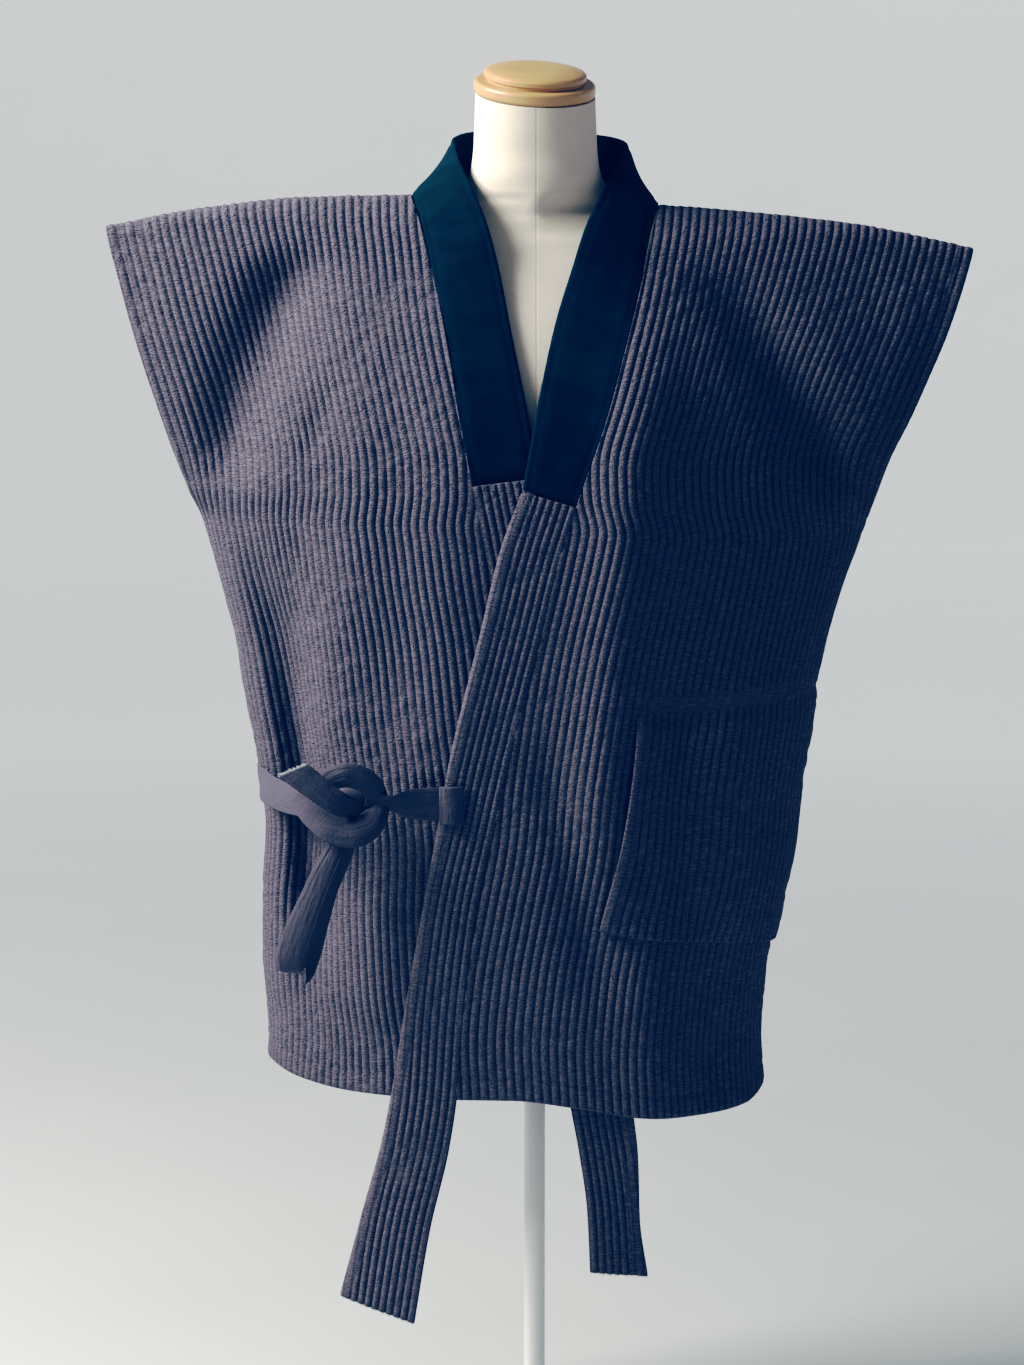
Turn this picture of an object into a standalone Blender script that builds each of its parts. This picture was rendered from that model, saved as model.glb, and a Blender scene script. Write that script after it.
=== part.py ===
"""A sleeveless samue, a quilted wrap vest with a tied front, worn by a limbless dress form on a stand.

X runs to the viewer's right, the front faces -Y, and Z is up. The origin is the middle of the underside
of the stand's base. All sizes are metres.
"""
import bpy
import bmesh
import numpy as np
from mathutils import Matrix, Vector

# Thickness of the cloth pieces.
QUILT = 0.003
BAND = 0.0045
COLLAR = 0.003
STRAP = 0.0024

# Gap between pieces that are sewn together.
SEAM = 0.0008

# Air between the over front and the pocket that lies on it, and between the over band and the tie tab.
POCKET_LIFT = 0.0015
TAB_LIFT = 0.0007

# The collar starts this far from its seam, and further where it stands up round the neck.
COLLAR_GAP = 0.0007
COLLAR_RISE = 0.0030

# The over front lies this far in front of the under front where they lap.
LAP = 0.007
LAP_FULL_BELOW = 0.965
LAP_GONE_ABOVE = 1.045
LAP_FULL_LEFT_OF = 0.10
LAP_GONE_RIGHT_OF = 0.185

# Radius of the roll where front and back meet: over the shoulder, and out at the wing's tip.
SHOULDER_ROLL = 0.030
WING_ROLL = 0.009
ROLL_FULL_TO = 0.12
ROLL_GONE_AT = 0.30

# The line of the shoulder fold, from the left tip to the right one.
SHOULDER = (
    ("x", "z"),
    (-0.380, 1.1080),
    (-0.290, 1.1240),
    (-0.200, 1.1330),
    (-0.111, 1.1345),
    (0.111, 1.1255),
    (0.200, 1.1185),
    (0.290, 1.1080),
    (0.388, 1.0880),
)

# The lower edge of both fronts, from side seam to side seam.
HEM = (
    ("x", "z"),
    (-0.243, 0.3620),
    (-0.212, 0.3535),
    (-0.160, 0.3480),
    (-0.020, 0.3470),
    (0.035, 0.3400),
    (0.090, 0.3300),
    (0.160, 0.3250),
    (0.190, 0.3270),
    (0.208, 0.3360),
)

# Level sections of the garment, by how far they lie below the shoulder line: the width to either side,
# the depth at the middle in front and behind, the gape of the armhole, and the two powers that shape
# the curve from the middle (crown) to the side (edge).
SECTIONS = (
    ("drop", "left", "right", "front", "back", "gape", "crown", "edge"),
    (0.00, 0.3800, 0.3880, 0.036, 0.066, 0.003, 1.80, 1.25),
    (0.02, 0.3755, 0.3825, 0.048, 0.070, 0.008, 1.80, 1.25),
    (0.04, 0.3700, 0.3765, 0.060, 0.074, 0.014, 1.80, 1.25),
    (0.08, 0.3595, 0.3633, 0.081, 0.083, 0.022, 1.80, 1.20),
    (0.12, 0.3480, 0.3475, 0.099, 0.092, 0.028, 1.80, 1.15),
    (0.16, 0.3355, 0.3313, 0.114, 0.097, 0.031, 1.85, 1.05),
    (0.20, 0.3230, 0.3138, 0.125, 0.102, 0.029, 1.90, 0.95),
    (0.24, 0.3095, 0.3010, 0.130, 0.105, 0.017, 2.00, 0.75),
    (0.275, 0.2950, 0.2895, 0.132, 0.106, 0.000, 2.10, 0.60),
    (0.33, 0.2800, 0.2710, 0.132, 0.106, 0.000, 2.20, 0.52),
    (0.38, 0.2685, 0.2580, 0.130, 0.105, 0.000, 2.20, 0.50),
    (0.44, 0.2583, 0.2460, 0.129, 0.105, 0.000, 2.20, 0.50),
    (0.50, 0.2475, 0.2362, 0.129, 0.107, 0.000, 2.20, 0.50),
    (0.56, 0.2408, 0.2295, 0.130, 0.110, 0.000, 2.20, 0.50),
    (0.62, 0.2442, 0.2182, 0.130, 0.113, 0.000, 2.20, 0.50),
    (0.68, 0.2445, 0.2080, 0.129, 0.116, 0.000, 2.20, 0.50),
    (0.74, 0.2400, 0.2035, 0.127, 0.118, 0.000, 2.20, 0.50),
    (0.80, 0.2425, 0.2075, 0.125, 0.120, 0.000, 2.20, 0.50),
    (1.02, 0.2425, 0.2075, 0.112, 0.120, 0.000, 2.20, 0.50),
)

# The largest folds. Each runs from its top point to its bottom point, bowed sideways in the middle.
# A positive depth stands out as a ridge, a negative one sinks in as a trough.
FRONT_FOLDS = (
    ("x_top", "z_top", "x_bottom", "z_bottom", "bow", "width", "depth"),
    (-0.205, 1.110, -0.302, 0.850, 0.010, 0.034, -0.017),
    (-0.345, 1.100, -0.330, 0.860, 0.000, 0.026, 0.007),
    (-0.090, 1.100, -0.090, 0.560, 0.012, 0.036, 0.006),
    (-0.272, 0.880, -0.200, 0.400, 0.018, 0.028, -0.030),
    (-0.105, 0.760, -0.115, 0.200, 0.000, 0.045, 0.007),
    (0.108, 1.100, 0.052, 0.480, -0.010, 0.030, 0.012),
    (0.138, 1.100, 0.285, 0.840, 0.012, 0.034, -0.017),
    (0.345, 1.090, 0.322, 0.860, 0.000, 0.026, 0.007),
    (0.118, 0.760, 0.120, 0.470, 0.004, 0.018, -0.007),
    (0.172, 0.820, 0.160, 0.420, 0.006, 0.022, 0.006),
    (0.004, 0.700, 0.062, 0.400, 0.000, 0.022, -0.006),
    (0.092, 0.520, 0.112, 0.200, 0.000, 0.026, 0.006),
    (0.150, 0.540, 0.152, 0.300, 0.000, 0.018, -0.006),
)
BACK_FOLDS = (
    ("x_top", "z_top", "x_bottom", "z_bottom", "bow", "width", "depth"),
    (-0.200, 1.110, -0.290, 0.840, 0.010, 0.034, -0.016),
    (0.196, 1.100, 0.276, 0.840, -0.010, 0.032, -0.015),
    (-0.140, 0.960, -0.170, 0.200, 0.010, 0.040, 0.009),
    (-0.060, 0.880, -0.070, 0.200, 0.000, 0.034, -0.010),
    (0.030, 0.980, 0.020, 0.200, 0.008, 0.036, 0.007),
    (0.105, 0.860, 0.095, 0.200, 0.000, 0.030, -0.011),
    (0.160, 0.920, 0.150, 0.200, 0.000, 0.030, 0.006),
)
# A fold fades in and out over this share of its length, dies out this far below the shoulder line, and
# dies out again from this share of the way to the side.
FOLD_ENDS = 0.28
FOLD_STARTS_BELOW = 0.07
FOLD_FLATTENS_FROM = 0.80

# Where the fronts end and the collar or band begins.
UNDER_SEAM = (
    ("z", "x"),
    (0.180, 0.0490),
    (0.243, 0.0459),
    (0.296, 0.0387),
    (0.344, 0.0300),
    (0.560, -0.0030),
    (0.798, -0.0380),
    (0.892, -0.0560),
    (0.945, -0.0665),
    (1.012, -0.0780),
    (1.060, -0.0885),
    (1.095, -0.0975),
    (1.120, -0.1050),
    (1.1345, -0.1110),
)
OVER_SEAM = (
    ("z", "x"),
    (0.130, -0.1090),
    (0.226, -0.0933),
    (0.300, -0.0765),
    (0.351, -0.0690),
    (0.420, -0.0640),
    (0.513, -0.0525),
    (0.588, -0.0364),
    (0.651, -0.0225),
    (0.753, 0.0030),
    (0.825, 0.0209),
    (0.874, 0.0364),
    (0.944, 0.0615),
    (1.003, 0.0781),
    (1.050, 0.0905),
    (1.083, 0.0985),
    (1.110, 0.1055),
    (1.1255, 0.1110),
)

# The bands below the collar, from the top end to the end of the tail: the height on the seam edge, and
# the point of the free edge across from it.
UNDER_BAND = (
    ("seam_z", "free_x", "free_z"),
    (0.8895, -0.0010, 0.8960),
    (0.798, 0.0140, 0.8040),
    (0.560, 0.0500, 0.5640),
    (0.344, 0.0840, 0.3400),
    (0.296, 0.0895, 0.2900),
    (0.243, 0.0915, 0.2330),
    (0.186, 0.0990, 0.1800),
)
OVER_BAND = (
    ("seam_z", "free_x", "free_z"),
    (0.8715, -0.0108, 0.8850),
    (0.825, -0.0294, 0.8340),
    (0.753, -0.0468, 0.7620),
    (0.651, -0.0725, 0.6560),
    (0.588, -0.0840, 0.5920),
    (0.513, -0.0978, 0.5160),
    (0.420, -0.1140, 0.4240),
    (0.351, -0.1247, 0.3560),
    (0.300, -0.1345, 0.3060),
    (0.226, -0.1530, 0.2360),
    (0.138, -0.1733, 0.1580),
)

# The collar from its end on the under front, up round the neck, to its end on the over front. The seam
# edge is a point of the front or the back. "laid" is 1 where the strip lies on the front.
COLLAR_STATIONS = (
    ("seam_x", "seam_z", "free_x", "free_y", "free_z", "laid"),
    (-0.0560, 0.8920, 0.0010, -0.130, 0.8985, 1.0),
    (-0.0665, 0.9450, -0.0090, -0.126, 0.9560, 1.0),
    (-0.0780, 1.0120, -0.0235, -0.112, 1.0260, 1.0),
    (-0.0885, 1.0600, -0.0335, -0.094, 1.0760, 0.8),
    (-0.0975, 1.0950, -0.0435, -0.070, 1.1130, 0.3),
    (-0.1050, 1.1200, -0.0570, -0.040, 1.1440, 0.0),
    (-0.1110, 1.1340, -0.0690, -0.004, 1.1690, 0.0),
    (-0.0960, 1.1300, -0.0730, 0.030, 1.1840, 0.0),
    (-0.0560, 1.1210, -0.0520, 0.058, 1.1900, 0.0),
    (0.0000, 1.1160, 0.0000, 0.066, 1.1900, 0.0),
    (0.0560, 1.1170, 0.0570, 0.058, 1.1870, 0.0),
    (0.0960, 1.1230, 0.0810, 0.030, 1.1800, 0.0),
    (0.1110, 1.1250, 0.0730, -0.004, 1.1620, 0.0),
    (0.1055, 1.1100, 0.0580, -0.040, 1.1380, 0.0),
    (0.0985, 1.0830, 0.0435, -0.072, 1.1080, 0.3),
    (0.0905, 1.0500, 0.0325, -0.098, 1.0740, 0.8),
    (0.0781, 1.0030, 0.0180, -0.118, 1.0280, 1.0),
    (0.0615, 0.9440, 0.0035, -0.132, 0.9640, 1.0),
    (0.0364, 0.8740, -0.0103, -0.136, 0.8880, 1.0),
)
NAPE = (
    ("x", "z"),
    (-0.1110, 1.1340),
    (-0.0960, 1.1300),
    (-0.0560, 1.1210),
    (0.0000, 1.1160),
    (0.0560, 1.1170),
    (0.0960, 1.1230),
    (0.1110, 1.1250),
)

# The pocket's slanted opening edge, its bottom and top edges, and how far it stops from the side seam.
POCKET_OPENING = (
    ("z", "x"),
    (0.485, 0.0545),
    (0.569, 0.0721),
    (0.634, 0.0815),
    (0.685, 0.0874),
    (0.706, 0.0915),
)
POCKET_BOTTOM = (
    ("x", "z"),
    (0.054, 0.5000),
    (0.110, 0.4880),
    (0.160, 0.4820),
    (0.215, 0.4700),
)
POCKET_TOP = (
    ("x", "z"),
    (0.0600, 0.7048),
    (0.2500, 0.7124),
)
POCKET_STARTS_LEFT_OF = 0.042
POCKET_ROW_ROOM = 0.006

# The straps and the knot: the middle of each strap, its width there and its turn about its own length
# in degrees (0 lies flat against the front).
TIE_FROM_BAND = (
    ("x", "y", "z", "width", "turn"),
    (-0.0892, -0.1385, 0.6060, 0.027, 0),
    (-0.1000, -0.1420, 0.6065, 0.026, 0),
    (-0.1150, -0.1450, 0.6080, 0.021, 12),
    (-0.1352, -0.1455, 0.6090, 0.017, 20),
)
TIE_FROM_SIDE = (
    ("x", "y", "z", "width", "turn"),
    (-0.2493, -0.0060, 0.6140, 0.025, -10),
    (-0.2462, -0.0340, 0.6140, 0.026, 0),
    (-0.2385, -0.0640, 0.6120, 0.026, 14),
    (-0.2262, -0.0910, 0.6090, 0.025, 12),
    (-0.2100, -0.1150, 0.6050, 0.023, 6),
    (-0.1908, -0.1341, 0.6020, 0.021, 0),
)
TIE_END = (
    ("x", "y", "z", "width", "turn"),
    (-0.1680, -0.1602, 0.6085, 0.024, 0),
    (-0.1860, -0.1602, 0.6210, 0.028, 0),
    (-0.2010, -0.1590, 0.6310, 0.030, 0),
    (-0.2140, -0.1500, 0.6380, 0.031, 0),
)
LOOP_FRONT = (
    ("x", "y", "z", "width", "turn"),
    (-0.1660, -0.1490, 0.5738, 0.020, 0),
    (-0.1790, -0.1540, 0.5300, 0.026, 0),
    (-0.1930, -0.1560, 0.4940, 0.029, 0),
    (-0.2060, -0.1540, 0.4640, 0.030, 0),
)
LOOP_BACK = (
    ("x", "y", "z", "width", "turn"),
    (-0.1930, -0.1440, 0.4600, 0.028, 0),
    (-0.1800, -0.1440, 0.4920, 0.026, 0),
    (-0.1660, -0.1430, 0.5300, 0.024, 0),
    (-0.1600, -0.1385, 0.5738, 0.020, 0),
)
KNOT_AT = (-0.1640, -0.1420, 0.6050)
KNOT_SIZE = (0.068, 0.040, 0.074)
TAB_AT_Z = 0.6060
TAB_FROM_SEAM = 0.0465
TAB_WIDTH = 0.018
TAB_HEIGHT = 0.032

# The dress form: level sections from the flat underside to the top of the neck.
FORM = (
    ("z", "left", "right", "front", "back", "crown", "edge", "middle_y"),
    (0.440, 0.150, 0.150, 0.088, 0.090, 2.2, 0.50, 0.000),
    (0.500, 0.162, 0.160, 0.096, 0.096, 2.2, 0.50, 0.000),
    (0.580, 0.156, 0.154, 0.094, 0.088, 2.2, 0.50, 0.000),
    (0.680, 0.134, 0.132, 0.090, 0.076, 2.2, 0.50, 0.000),
    (0.760, 0.134, 0.132, 0.096, 0.076, 2.2, 0.50, 0.000),
    (0.840, 0.146, 0.144, 0.110, 0.082, 2.2, 0.50, 0.000),
    (0.910, 0.158, 0.156, 0.118, 0.086, 2.2, 0.50, 0.000),
    (0.970, 0.168, 0.164, 0.106, 0.084, 2.2, 0.55, 0.000),
    (1.030, 0.178, 0.172, 0.084, 0.074, 2.1, 0.65, 0.000),
    (1.070, 0.182, 0.174, 0.064, 0.060, 2.0, 0.75, 0.000),
    (1.095, 0.182, 0.172, 0.050, 0.050, 1.8, 0.90, 0.000),
    (1.108, 0.178, 0.166, 0.046, 0.046, 1.5, 1.10, 0.002),
    (1.1186, 0.168, 0.151, 0.047, 0.046, 1.2, 1.20, 0.003),
    (1.1256, 0.145, 0.100, 0.050, 0.047, 1.1, 1.05, 0.004),
    (1.134, 0.084, 0.082, 0.052, 0.048, 1.3, 0.80, 0.004),
    (1.142, 0.066, 0.066, 0.053, 0.049, 1.7, 0.60, 0.004),
    (1.156, 0.0580, 0.0580, 0.053, 0.050, 2.0, 0.50, 0.003),
    (1.176, 0.0550, 0.0550, 0.052, 0.050, 2.0, 0.50, 0.002),
    (1.203, 0.0538, 0.0538, 0.053, 0.051, 2.0, 0.50, 0.000),
    (1.225, 0.0530, 0.0530, 0.053, 0.053, 2.0, 0.50, -0.002),
)
FORM_POINTS = 40
FORM_RINGS = (
    ("from_z", "to_z", "rings"),
    (0.440, 1.080, 17),
    (1.088, 1.156, 13),
    (1.171, 1.225, 4),
)
NECK_STARTS = 1.156
NECK_TOP = (-0.001, -0.002, 1.2250)
NECK_TILT_FORWARD = 12.0
NECK_TILT_RIGHT = 2.9
CAP_RING_RADIUS = 0.0540
CAP_RING_HEIGHT = 0.0115
CAP_RING_EDGE = 0.0035
CAP_DISC_RADIUS = 0.0455
CAP_DISC_HEIGHT = 0.0125
CAP_DISC_CROWN = 0.0045
CAP_GROOVE = 0.0022
CAP_GROOVE_SLOPE = 0.0010
FORM_CLEAR = 0.0003

# The stand.
POLE_RADIUS = 0.0095
BASE_RADIUS = 0.135
BASE_HEIGHT = 0.025
BASE_EDGE = 0.006

# How finely the cloth is faceted.
TOP_ROWS = (0.0, 0.0001, 0.0012, 0.0045, 0.0110, 0.0220, 0.0390, 0.0620, 0.0880)
LOWER_ROWS = 15
FRONT_COLUMNS = 20
BACK_COLUMNS = 28
FIRST_STEP = 0.002
BAND_ROWS = 20
BAND_COLUMNS = 3
COLLAR_ROWS = 42
COLLAR_COLUMNS = 3
POCKET_EDGE_STEP = 0.0008
STRAP_STEPS = 10
LOOP_STEPS = 22
KNOT_LEVELS = 2

CLOTH_COLOUR = (0.060, 0.062, 0.088)
COLLAR_COLOUR = (0.008, 0.016, 0.030)
FORM_COLOUR = (0.80, 0.76, 0.69)
WOOD_COLOUR = (0.56, 0.40, 0.20)
STAND_COLOUR = (0.82, 0.82, 0.80)


def column(table, name):
    """One named column of a table, as numbers."""
    place = table[0].index(name)
    return np.array([row[place] for row in table[1:]], float)


def read(table, known, wanted, at):
    """Reads one column where another has the given values, along a smooth curve with no overshoot."""
    xs = column(table, known)
    ys = column(table, wanted)
    step = np.diff(xs)
    slope = np.diff(ys) / step
    lean = np.zeros(len(xs))
    lean[0] = slope[0]
    lean[-1] = slope[-1]
    same = slope[:-1] * slope[1:] > 0
    both = np.where(same, slope[:-1] + slope[1:], 1.0)
    lean[1:-1] = np.where(same, 2 * slope[:-1] * slope[1:] / both, 0.0)
    at = np.clip(np.asarray(at, float), xs[0], xs[-1])
    i = np.clip(np.searchsorted(xs, at) - 1, 0, len(step) - 1)
    t = (at - xs[i]) / step[i]
    rise = t * t * (3 - 2 * t)
    bend = t * (1 - t) ** 2 * step[i] * lean[i] - t * t * (1 - t) * step[i] * lean[i + 1]
    return ys[i] + (ys[i + 1] - ys[i]) * rise + bend


def ramp(low, high, at):
    """0 below low, 1 above high and a smooth rise between them."""
    t = np.clip((np.asarray(at, float) - low) / (high - low), 0, 1)
    return t * t * (3 - 2 * t)


def shoulder_z(x):
    return read(SHOULDER, "x", "z", x)


def half_width(x, drop):
    """How far the garment reaches on the side of x."""
    left = read(SECTIONS, "drop", "left", drop)
    right = read(SECTIONS, "drop", "right", drop)
    return np.where(np.asarray(x) < 0, left, right)


def folds(table, x, z, share):
    """How far all folds of a table move a point outwards. They die out at the side and the shoulder."""
    total = np.zeros(np.broadcast(x, z).shape)
    for x_top, z_top, x_bottom, z_bottom, bow, width, depth in table[1:]:
        along = (z_top - z) / (z_top - z_bottom)
        middle = x_top + (x_bottom - x_top) * along + bow * 4 * along * (1 - along)
        fade = ramp(0, FOLD_ENDS, along) * (1 - ramp(1 - FOLD_ENDS, 1, along))
        total = total + depth * fade * np.exp(-(((x - middle) / width) ** 2))
    drop = shoulder_z(x) - z
    return total * ramp(0, FOLD_STARTS_BELOW, drop) * (1 - ramp(FOLD_FLATTENS_FROM, 1.0, share))


def depth_at(x, z, wanted, table):
    """Distance of the front or back from the plane of the side seams."""
    drop = np.maximum(shoulder_z(x) - z, 0)
    share = np.clip(np.abs(x) / half_width(x, drop), 0, 1)
    middle = read(SECTIONS, "drop", wanted, drop)
    gape = read(SECTIONS, "drop", "gape", drop) + SEAM / 2
    crown = read(SECTIONS, "drop", "crown", drop)
    edge = read(SECTIONS, "drop", "edge", drop)
    depth = gape + (middle - gape) * (1 - share**crown) ** edge + folds(table, x, z, share)
    outward = ramp(ROLL_FULL_TO, ROLL_GONE_AT, np.abs(x))
    radius = SHOULDER_ROLL + (WING_ROLL - SHOULDER_ROLL) * outward
    inside = 1 - np.clip(drop / radius, 0, 1)
    roll = np.sqrt(np.maximum(1 - inside**2, 0))
    return np.maximum(depth, SEAM / 2) * roll + SEAM / 2 * (1 - roll)


def front_y(x, z):
    return -depth_at(x, z, "front", FRONT_FOLDS)


def back_y(x, z):
    return depth_at(x, z, "back", BACK_FOLDS)


def over_y(x, z):
    """The over front, which lies in front of the under front where they lap."""
    low = 1 - ramp(LAP_FULL_BELOW, LAP_GONE_ABOVE, z)
    near = 1 - ramp(LAP_FULL_LEFT_OF, LAP_GONE_RIGHT_OF, x)
    return front_y(x, z) - LAP * low * near


def row_shares():
    """Heights of the rows of a panel, as shares of its length: close together at the shoulder."""
    lower = np.linspace(TOP_ROWS[-1], 1, LOWER_ROWS + 1)[1:]
    return np.concatenate([TOP_ROWS, lower])


def even_along(points, steps, first):
    """Points at even steps along a line of points, with a short step at each end that has one."""
    gaps = np.linalg.norm(np.diff(points, axis=0), axis=1)
    along = np.concatenate([[0], np.cumsum(gaps)])
    low = first[0]
    high = along[-1] - first[1]
    inner = np.linspace(low, high, steps + 1 - (first[0] > 0) - (first[1] > 0))
    at = np.concatenate([[0.0] if first[0] else [], inner, [along[-1]] if first[1] else []])
    return np.stack([np.interp(at, along, points[:, k]) for k in range(3)], axis=1)


def side_x(side, z_of):
    """Where a row meets the side, and its height there: the row's height depends on where it is."""
    x = side * 0.3
    for _ in range(12):
        z = z_of(x)
        x = side * float(half_width(np.array(side), shoulder_z(x) - z))
    return x, float(z_of(x))


def panel_rows(y_of, start, end, top, steps, first, shares):
    """Rows of points of a panel. start and end give a row's two ends, top gives the upper edge."""
    rows = []
    for share in shares:
        def z_of(x, share=share):
            high = top(x)
            return high + (read(HEM, "x", "z", x) - high) * share

        x_start = start(z_of)
        x_end = end(z_of)
        turn = (1 - np.cos(np.linspace(0, np.pi, 401))) / 2
        x = x_start + (x_end - x_start) * turn
        z = z_of(x)
        line = np.stack([x, y_of(x, z), z], axis=1)
        rows.append(even_along(line, steps, first))
    return np.array(rows)


def seam_end(table, gap):
    """The end of a front's row on the seam of a table, kept half a gap away from it."""
    def find(z_of):
        x = float(column(table, "x")[-1])
        for _ in range(12):
            x = float(read(table, "z", "x", z_of(x))) + gap
        return x

    return find


def side_start(side):
    return lambda z_of: side_x(side, z_of)[0]


def ribbon(table, columns, rows, y_of, seam):
    """A band of the front, from its seam edge to its free edge, between the rows of its table."""
    along = np.linspace(0, 1, len(table) - 1)
    spread = (("at",) + table[0],) + tuple((s,) + row for s, row in zip(along, table[1:]))
    at = np.linspace(0, 1, rows + 1)
    seam_z = read(spread, "at", "seam_z", at)
    free_x = read(spread, "at", "free_x", at)
    free_z = read(spread, "at", "free_z", at)
    seam_x = read(seam, "z", "x", seam_z)
    across = np.linspace(0, 1, columns + 1)
    x = seam_x[:, None] + (free_x - seam_x)[:, None] * across
    z = seam_z[:, None] + (free_z - seam_z)[:, None] * across
    return np.stack([x, y_of(x, z), z], axis=2)


def collar_points(rows, columns):
    """The collar cover, which stands round the neck and lies down on both fronts."""
    along = np.linspace(0, 1, len(COLLAR_STATIONS) - 1)
    numbers = COLLAR_STATIONS[1:]
    spread = (("at",) + COLLAR_STATIONS[0],) + tuple((s,) + row for s, row in zip(along, numbers))
    at = np.linspace(0, 1, rows + 1)
    seam_x, seam_z, free_x, free_y, free_z, laid = (
        read(spread, "at", name, at) for name in COLLAR_STATIONS[0])
    first_top = along[6]
    last_top = along[12]
    behind = (at > first_top) & (at < last_top)
    on_fronts = np.where(seam_x < 0, read(UNDER_SEAM, "z", "x", seam_z), read(OVER_SEAM, "z", "x", seam_z))
    seam_z = np.where(behind, read(NAPE, "x", "z", seam_x), seam_z)
    seam_x = np.where(behind, seam_x, on_fronts)
    fronts = np.where(seam_x < 0, front_y(seam_x, seam_z), over_y(seam_x, seam_z))
    seam_y = np.where(behind, back_y(seam_x, seam_z), fronts)
    across = np.linspace(0, 1, columns + 1)
    seam = np.stack([seam_x, seam_y, seam_z], axis=1)
    free = np.stack([free_x, free_y, free_z], axis=1)
    points = seam[:, None, :] + (free - seam)[:, None, :] * across[None, :, None]
    x = points[:, :, 0]
    z = points[:, :, 2]
    side = (seam_x < 0)[:, None]
    on_front = np.where(side, front_y(x, z), over_y(x, z))
    weight = laid[:, None]
    points[:, :, 1] = points[:, :, 1] * (1 - weight) + on_front * weight
    return points, laid


def normals_of(grid):
    """The outward direction at each point of a grid of points."""
    down = np.gradient(grid, axis=0)
    across = np.gradient(grid, axis=1)
    out = np.cross(across, down)
    return out / np.maximum(np.linalg.norm(out, axis=2, keepdims=True), 1e-12)


def material(name, colour, roughness, metallic=0.0):
    found = bpy.data.materials.get(name)
    if found:
        return found
    made = bpy.data.materials.new(name)
    made.use_nodes = True
    shader = made.node_tree.nodes["Principled BSDF"]
    shader.inputs["Base Color"].default_value = (*colour, 1)
    shader.inputs["Roughness"].default_value = roughness
    shader.inputs["Metallic"].default_value = metallic
    return made


def add(name, mesh, finish):
    """Puts a mesh in the scene as one piece, shaded smooth with sharp edges kept."""
    piece = bpy.data.objects.new(name, mesh)
    bpy.data.collections["sleeveless_samue"].objects.link(piece)
    mesh.materials.append(finish)
    mesh.shade_smooth()
    mesh.set_sharp_from_angle(angle=np.radians(40))
    return piece


def sheet(name, grid, thickness, finish, outward):
    """A cloth piece: a grid of points as an open surface, given its thickness by Solidify."""
    rows, columns = grid.shape[:2]
    corners = [(r * columns + c, r * columns + c + 1, (r + 1) * columns + c + 1, (r + 1) * columns + c)
               for r in range(rows - 1) for c in range(columns - 1)]
    mesh = bpy.data.meshes.new(name)
    mesh.from_pydata(grid.reshape(-1, 3).tolist(), [], corners)
    middle = mesh.polygons[len(mesh.polygons) // 2]
    if middle.normal.dot(Vector(outward)) < 0:
        mesh.flip_normals()
    mesh.update()
    piece = add(name, mesh, finish)
    wall = piece.modifiers.new("wall", "SOLIDIFY")
    wall.thickness = thickness
    wall.offset = 0
    wall.use_even_offset = True
    return piece


def strap(name, table, thickness, finish, steps=STRAP_STEPS):
    """A flat strap along the points of a table, with its width and turn at each."""
    along = np.linspace(0, 1, len(table) - 1)
    spread = (("at",) + table[0],) + tuple((s,) + row for s, row in zip(along, table[1:]))
    at = np.linspace(0, 1, steps + 1)
    x, y, z, width, turn = (read(spread, "at", key, at) for key in table[0])
    middle = np.stack([x, y, z], axis=1)
    run = np.gradient(middle, axis=0)
    run /= np.linalg.norm(run, axis=1, keepdims=True)
    side = np.cross(run, np.array([0.0, -1.0, 0.0]))
    side /= np.linalg.norm(side, axis=1, keepdims=True)
    face = np.cross(side, run)
    angle = np.radians(turn)[:, None]
    side = side * np.cos(angle) + face * np.sin(angle)
    across = np.array([-0.5, 0.0, 0.5])
    grid = middle[:, None, :] + side[:, None, :] * (across[None, :, None] * width[:, None, None])
    return sheet(name, grid, thickness, finish, (0, -1, 0))


def make_fronts(quilt):
    shares = row_shares()
    under = panel_rows(front_y, side_start(-1), seam_end(UNDER_SEAM, -SEAM / 2), shoulder_z,
                       FRONT_COLUMNS, (FIRST_STEP, 0), shares)
    sheet("front_under", under, QUILT, quilt, (0, -1, 0))
    over = panel_rows(over_y, side_start(1), seam_end(OVER_SEAM, SEAM / 2), shoulder_z,
                      FRONT_COLUMNS, (FIRST_STEP, 0), shares)
    sheet("front_over", over, QUILT, quilt, (0, -1, 0))
    return over


def back_top(x):
    """The back's upper edge: the shoulder fold, and the neck seam between the collar's ends."""
    inside = np.abs(x) < column(NAPE, "x")[-1]
    return np.where(inside, read(NAPE, "x", "z", x), shoulder_z(x))


def make_back(quilt):
    grid = panel_rows(back_y, side_start(-1), side_start(1), back_top, BACK_COLUMNS,
                      (FIRST_STEP, FIRST_STEP), row_shares())
    sheet("back", grid, QUILT, quilt, (0, 1, 0))


def make_bands(quilt):
    under = ribbon(UNDER_BAND, BAND_COLUMNS, BAND_ROWS, front_y, UNDER_SEAM)
    under[:, 0, 0] += SEAM / 2
    sheet("band_under", under, BAND, quilt, (0, -1, 0))
    over = ribbon(OVER_BAND, BAND_COLUMNS, BAND_ROWS, over_y, OVER_SEAM)
    over[:, 0, 0] -= SEAM / 2
    sheet("band_over", over, BAND, quilt, (0, -1, 0))


def make_collar(cover):
    grid, laid = collar_points(COLLAR_ROWS, COLLAR_COLUMNS)
    across = grid[:, 1] - grid[:, 0]
    across /= np.linalg.norm(across, axis=1, keepdims=True)
    grid[:, 0] += across * (COLLAR_GAP + COLLAR_RISE * (1 - laid))[:, None]
    sheet("collar", grid, COLLAR, cover, (0, 1, 0))


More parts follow.
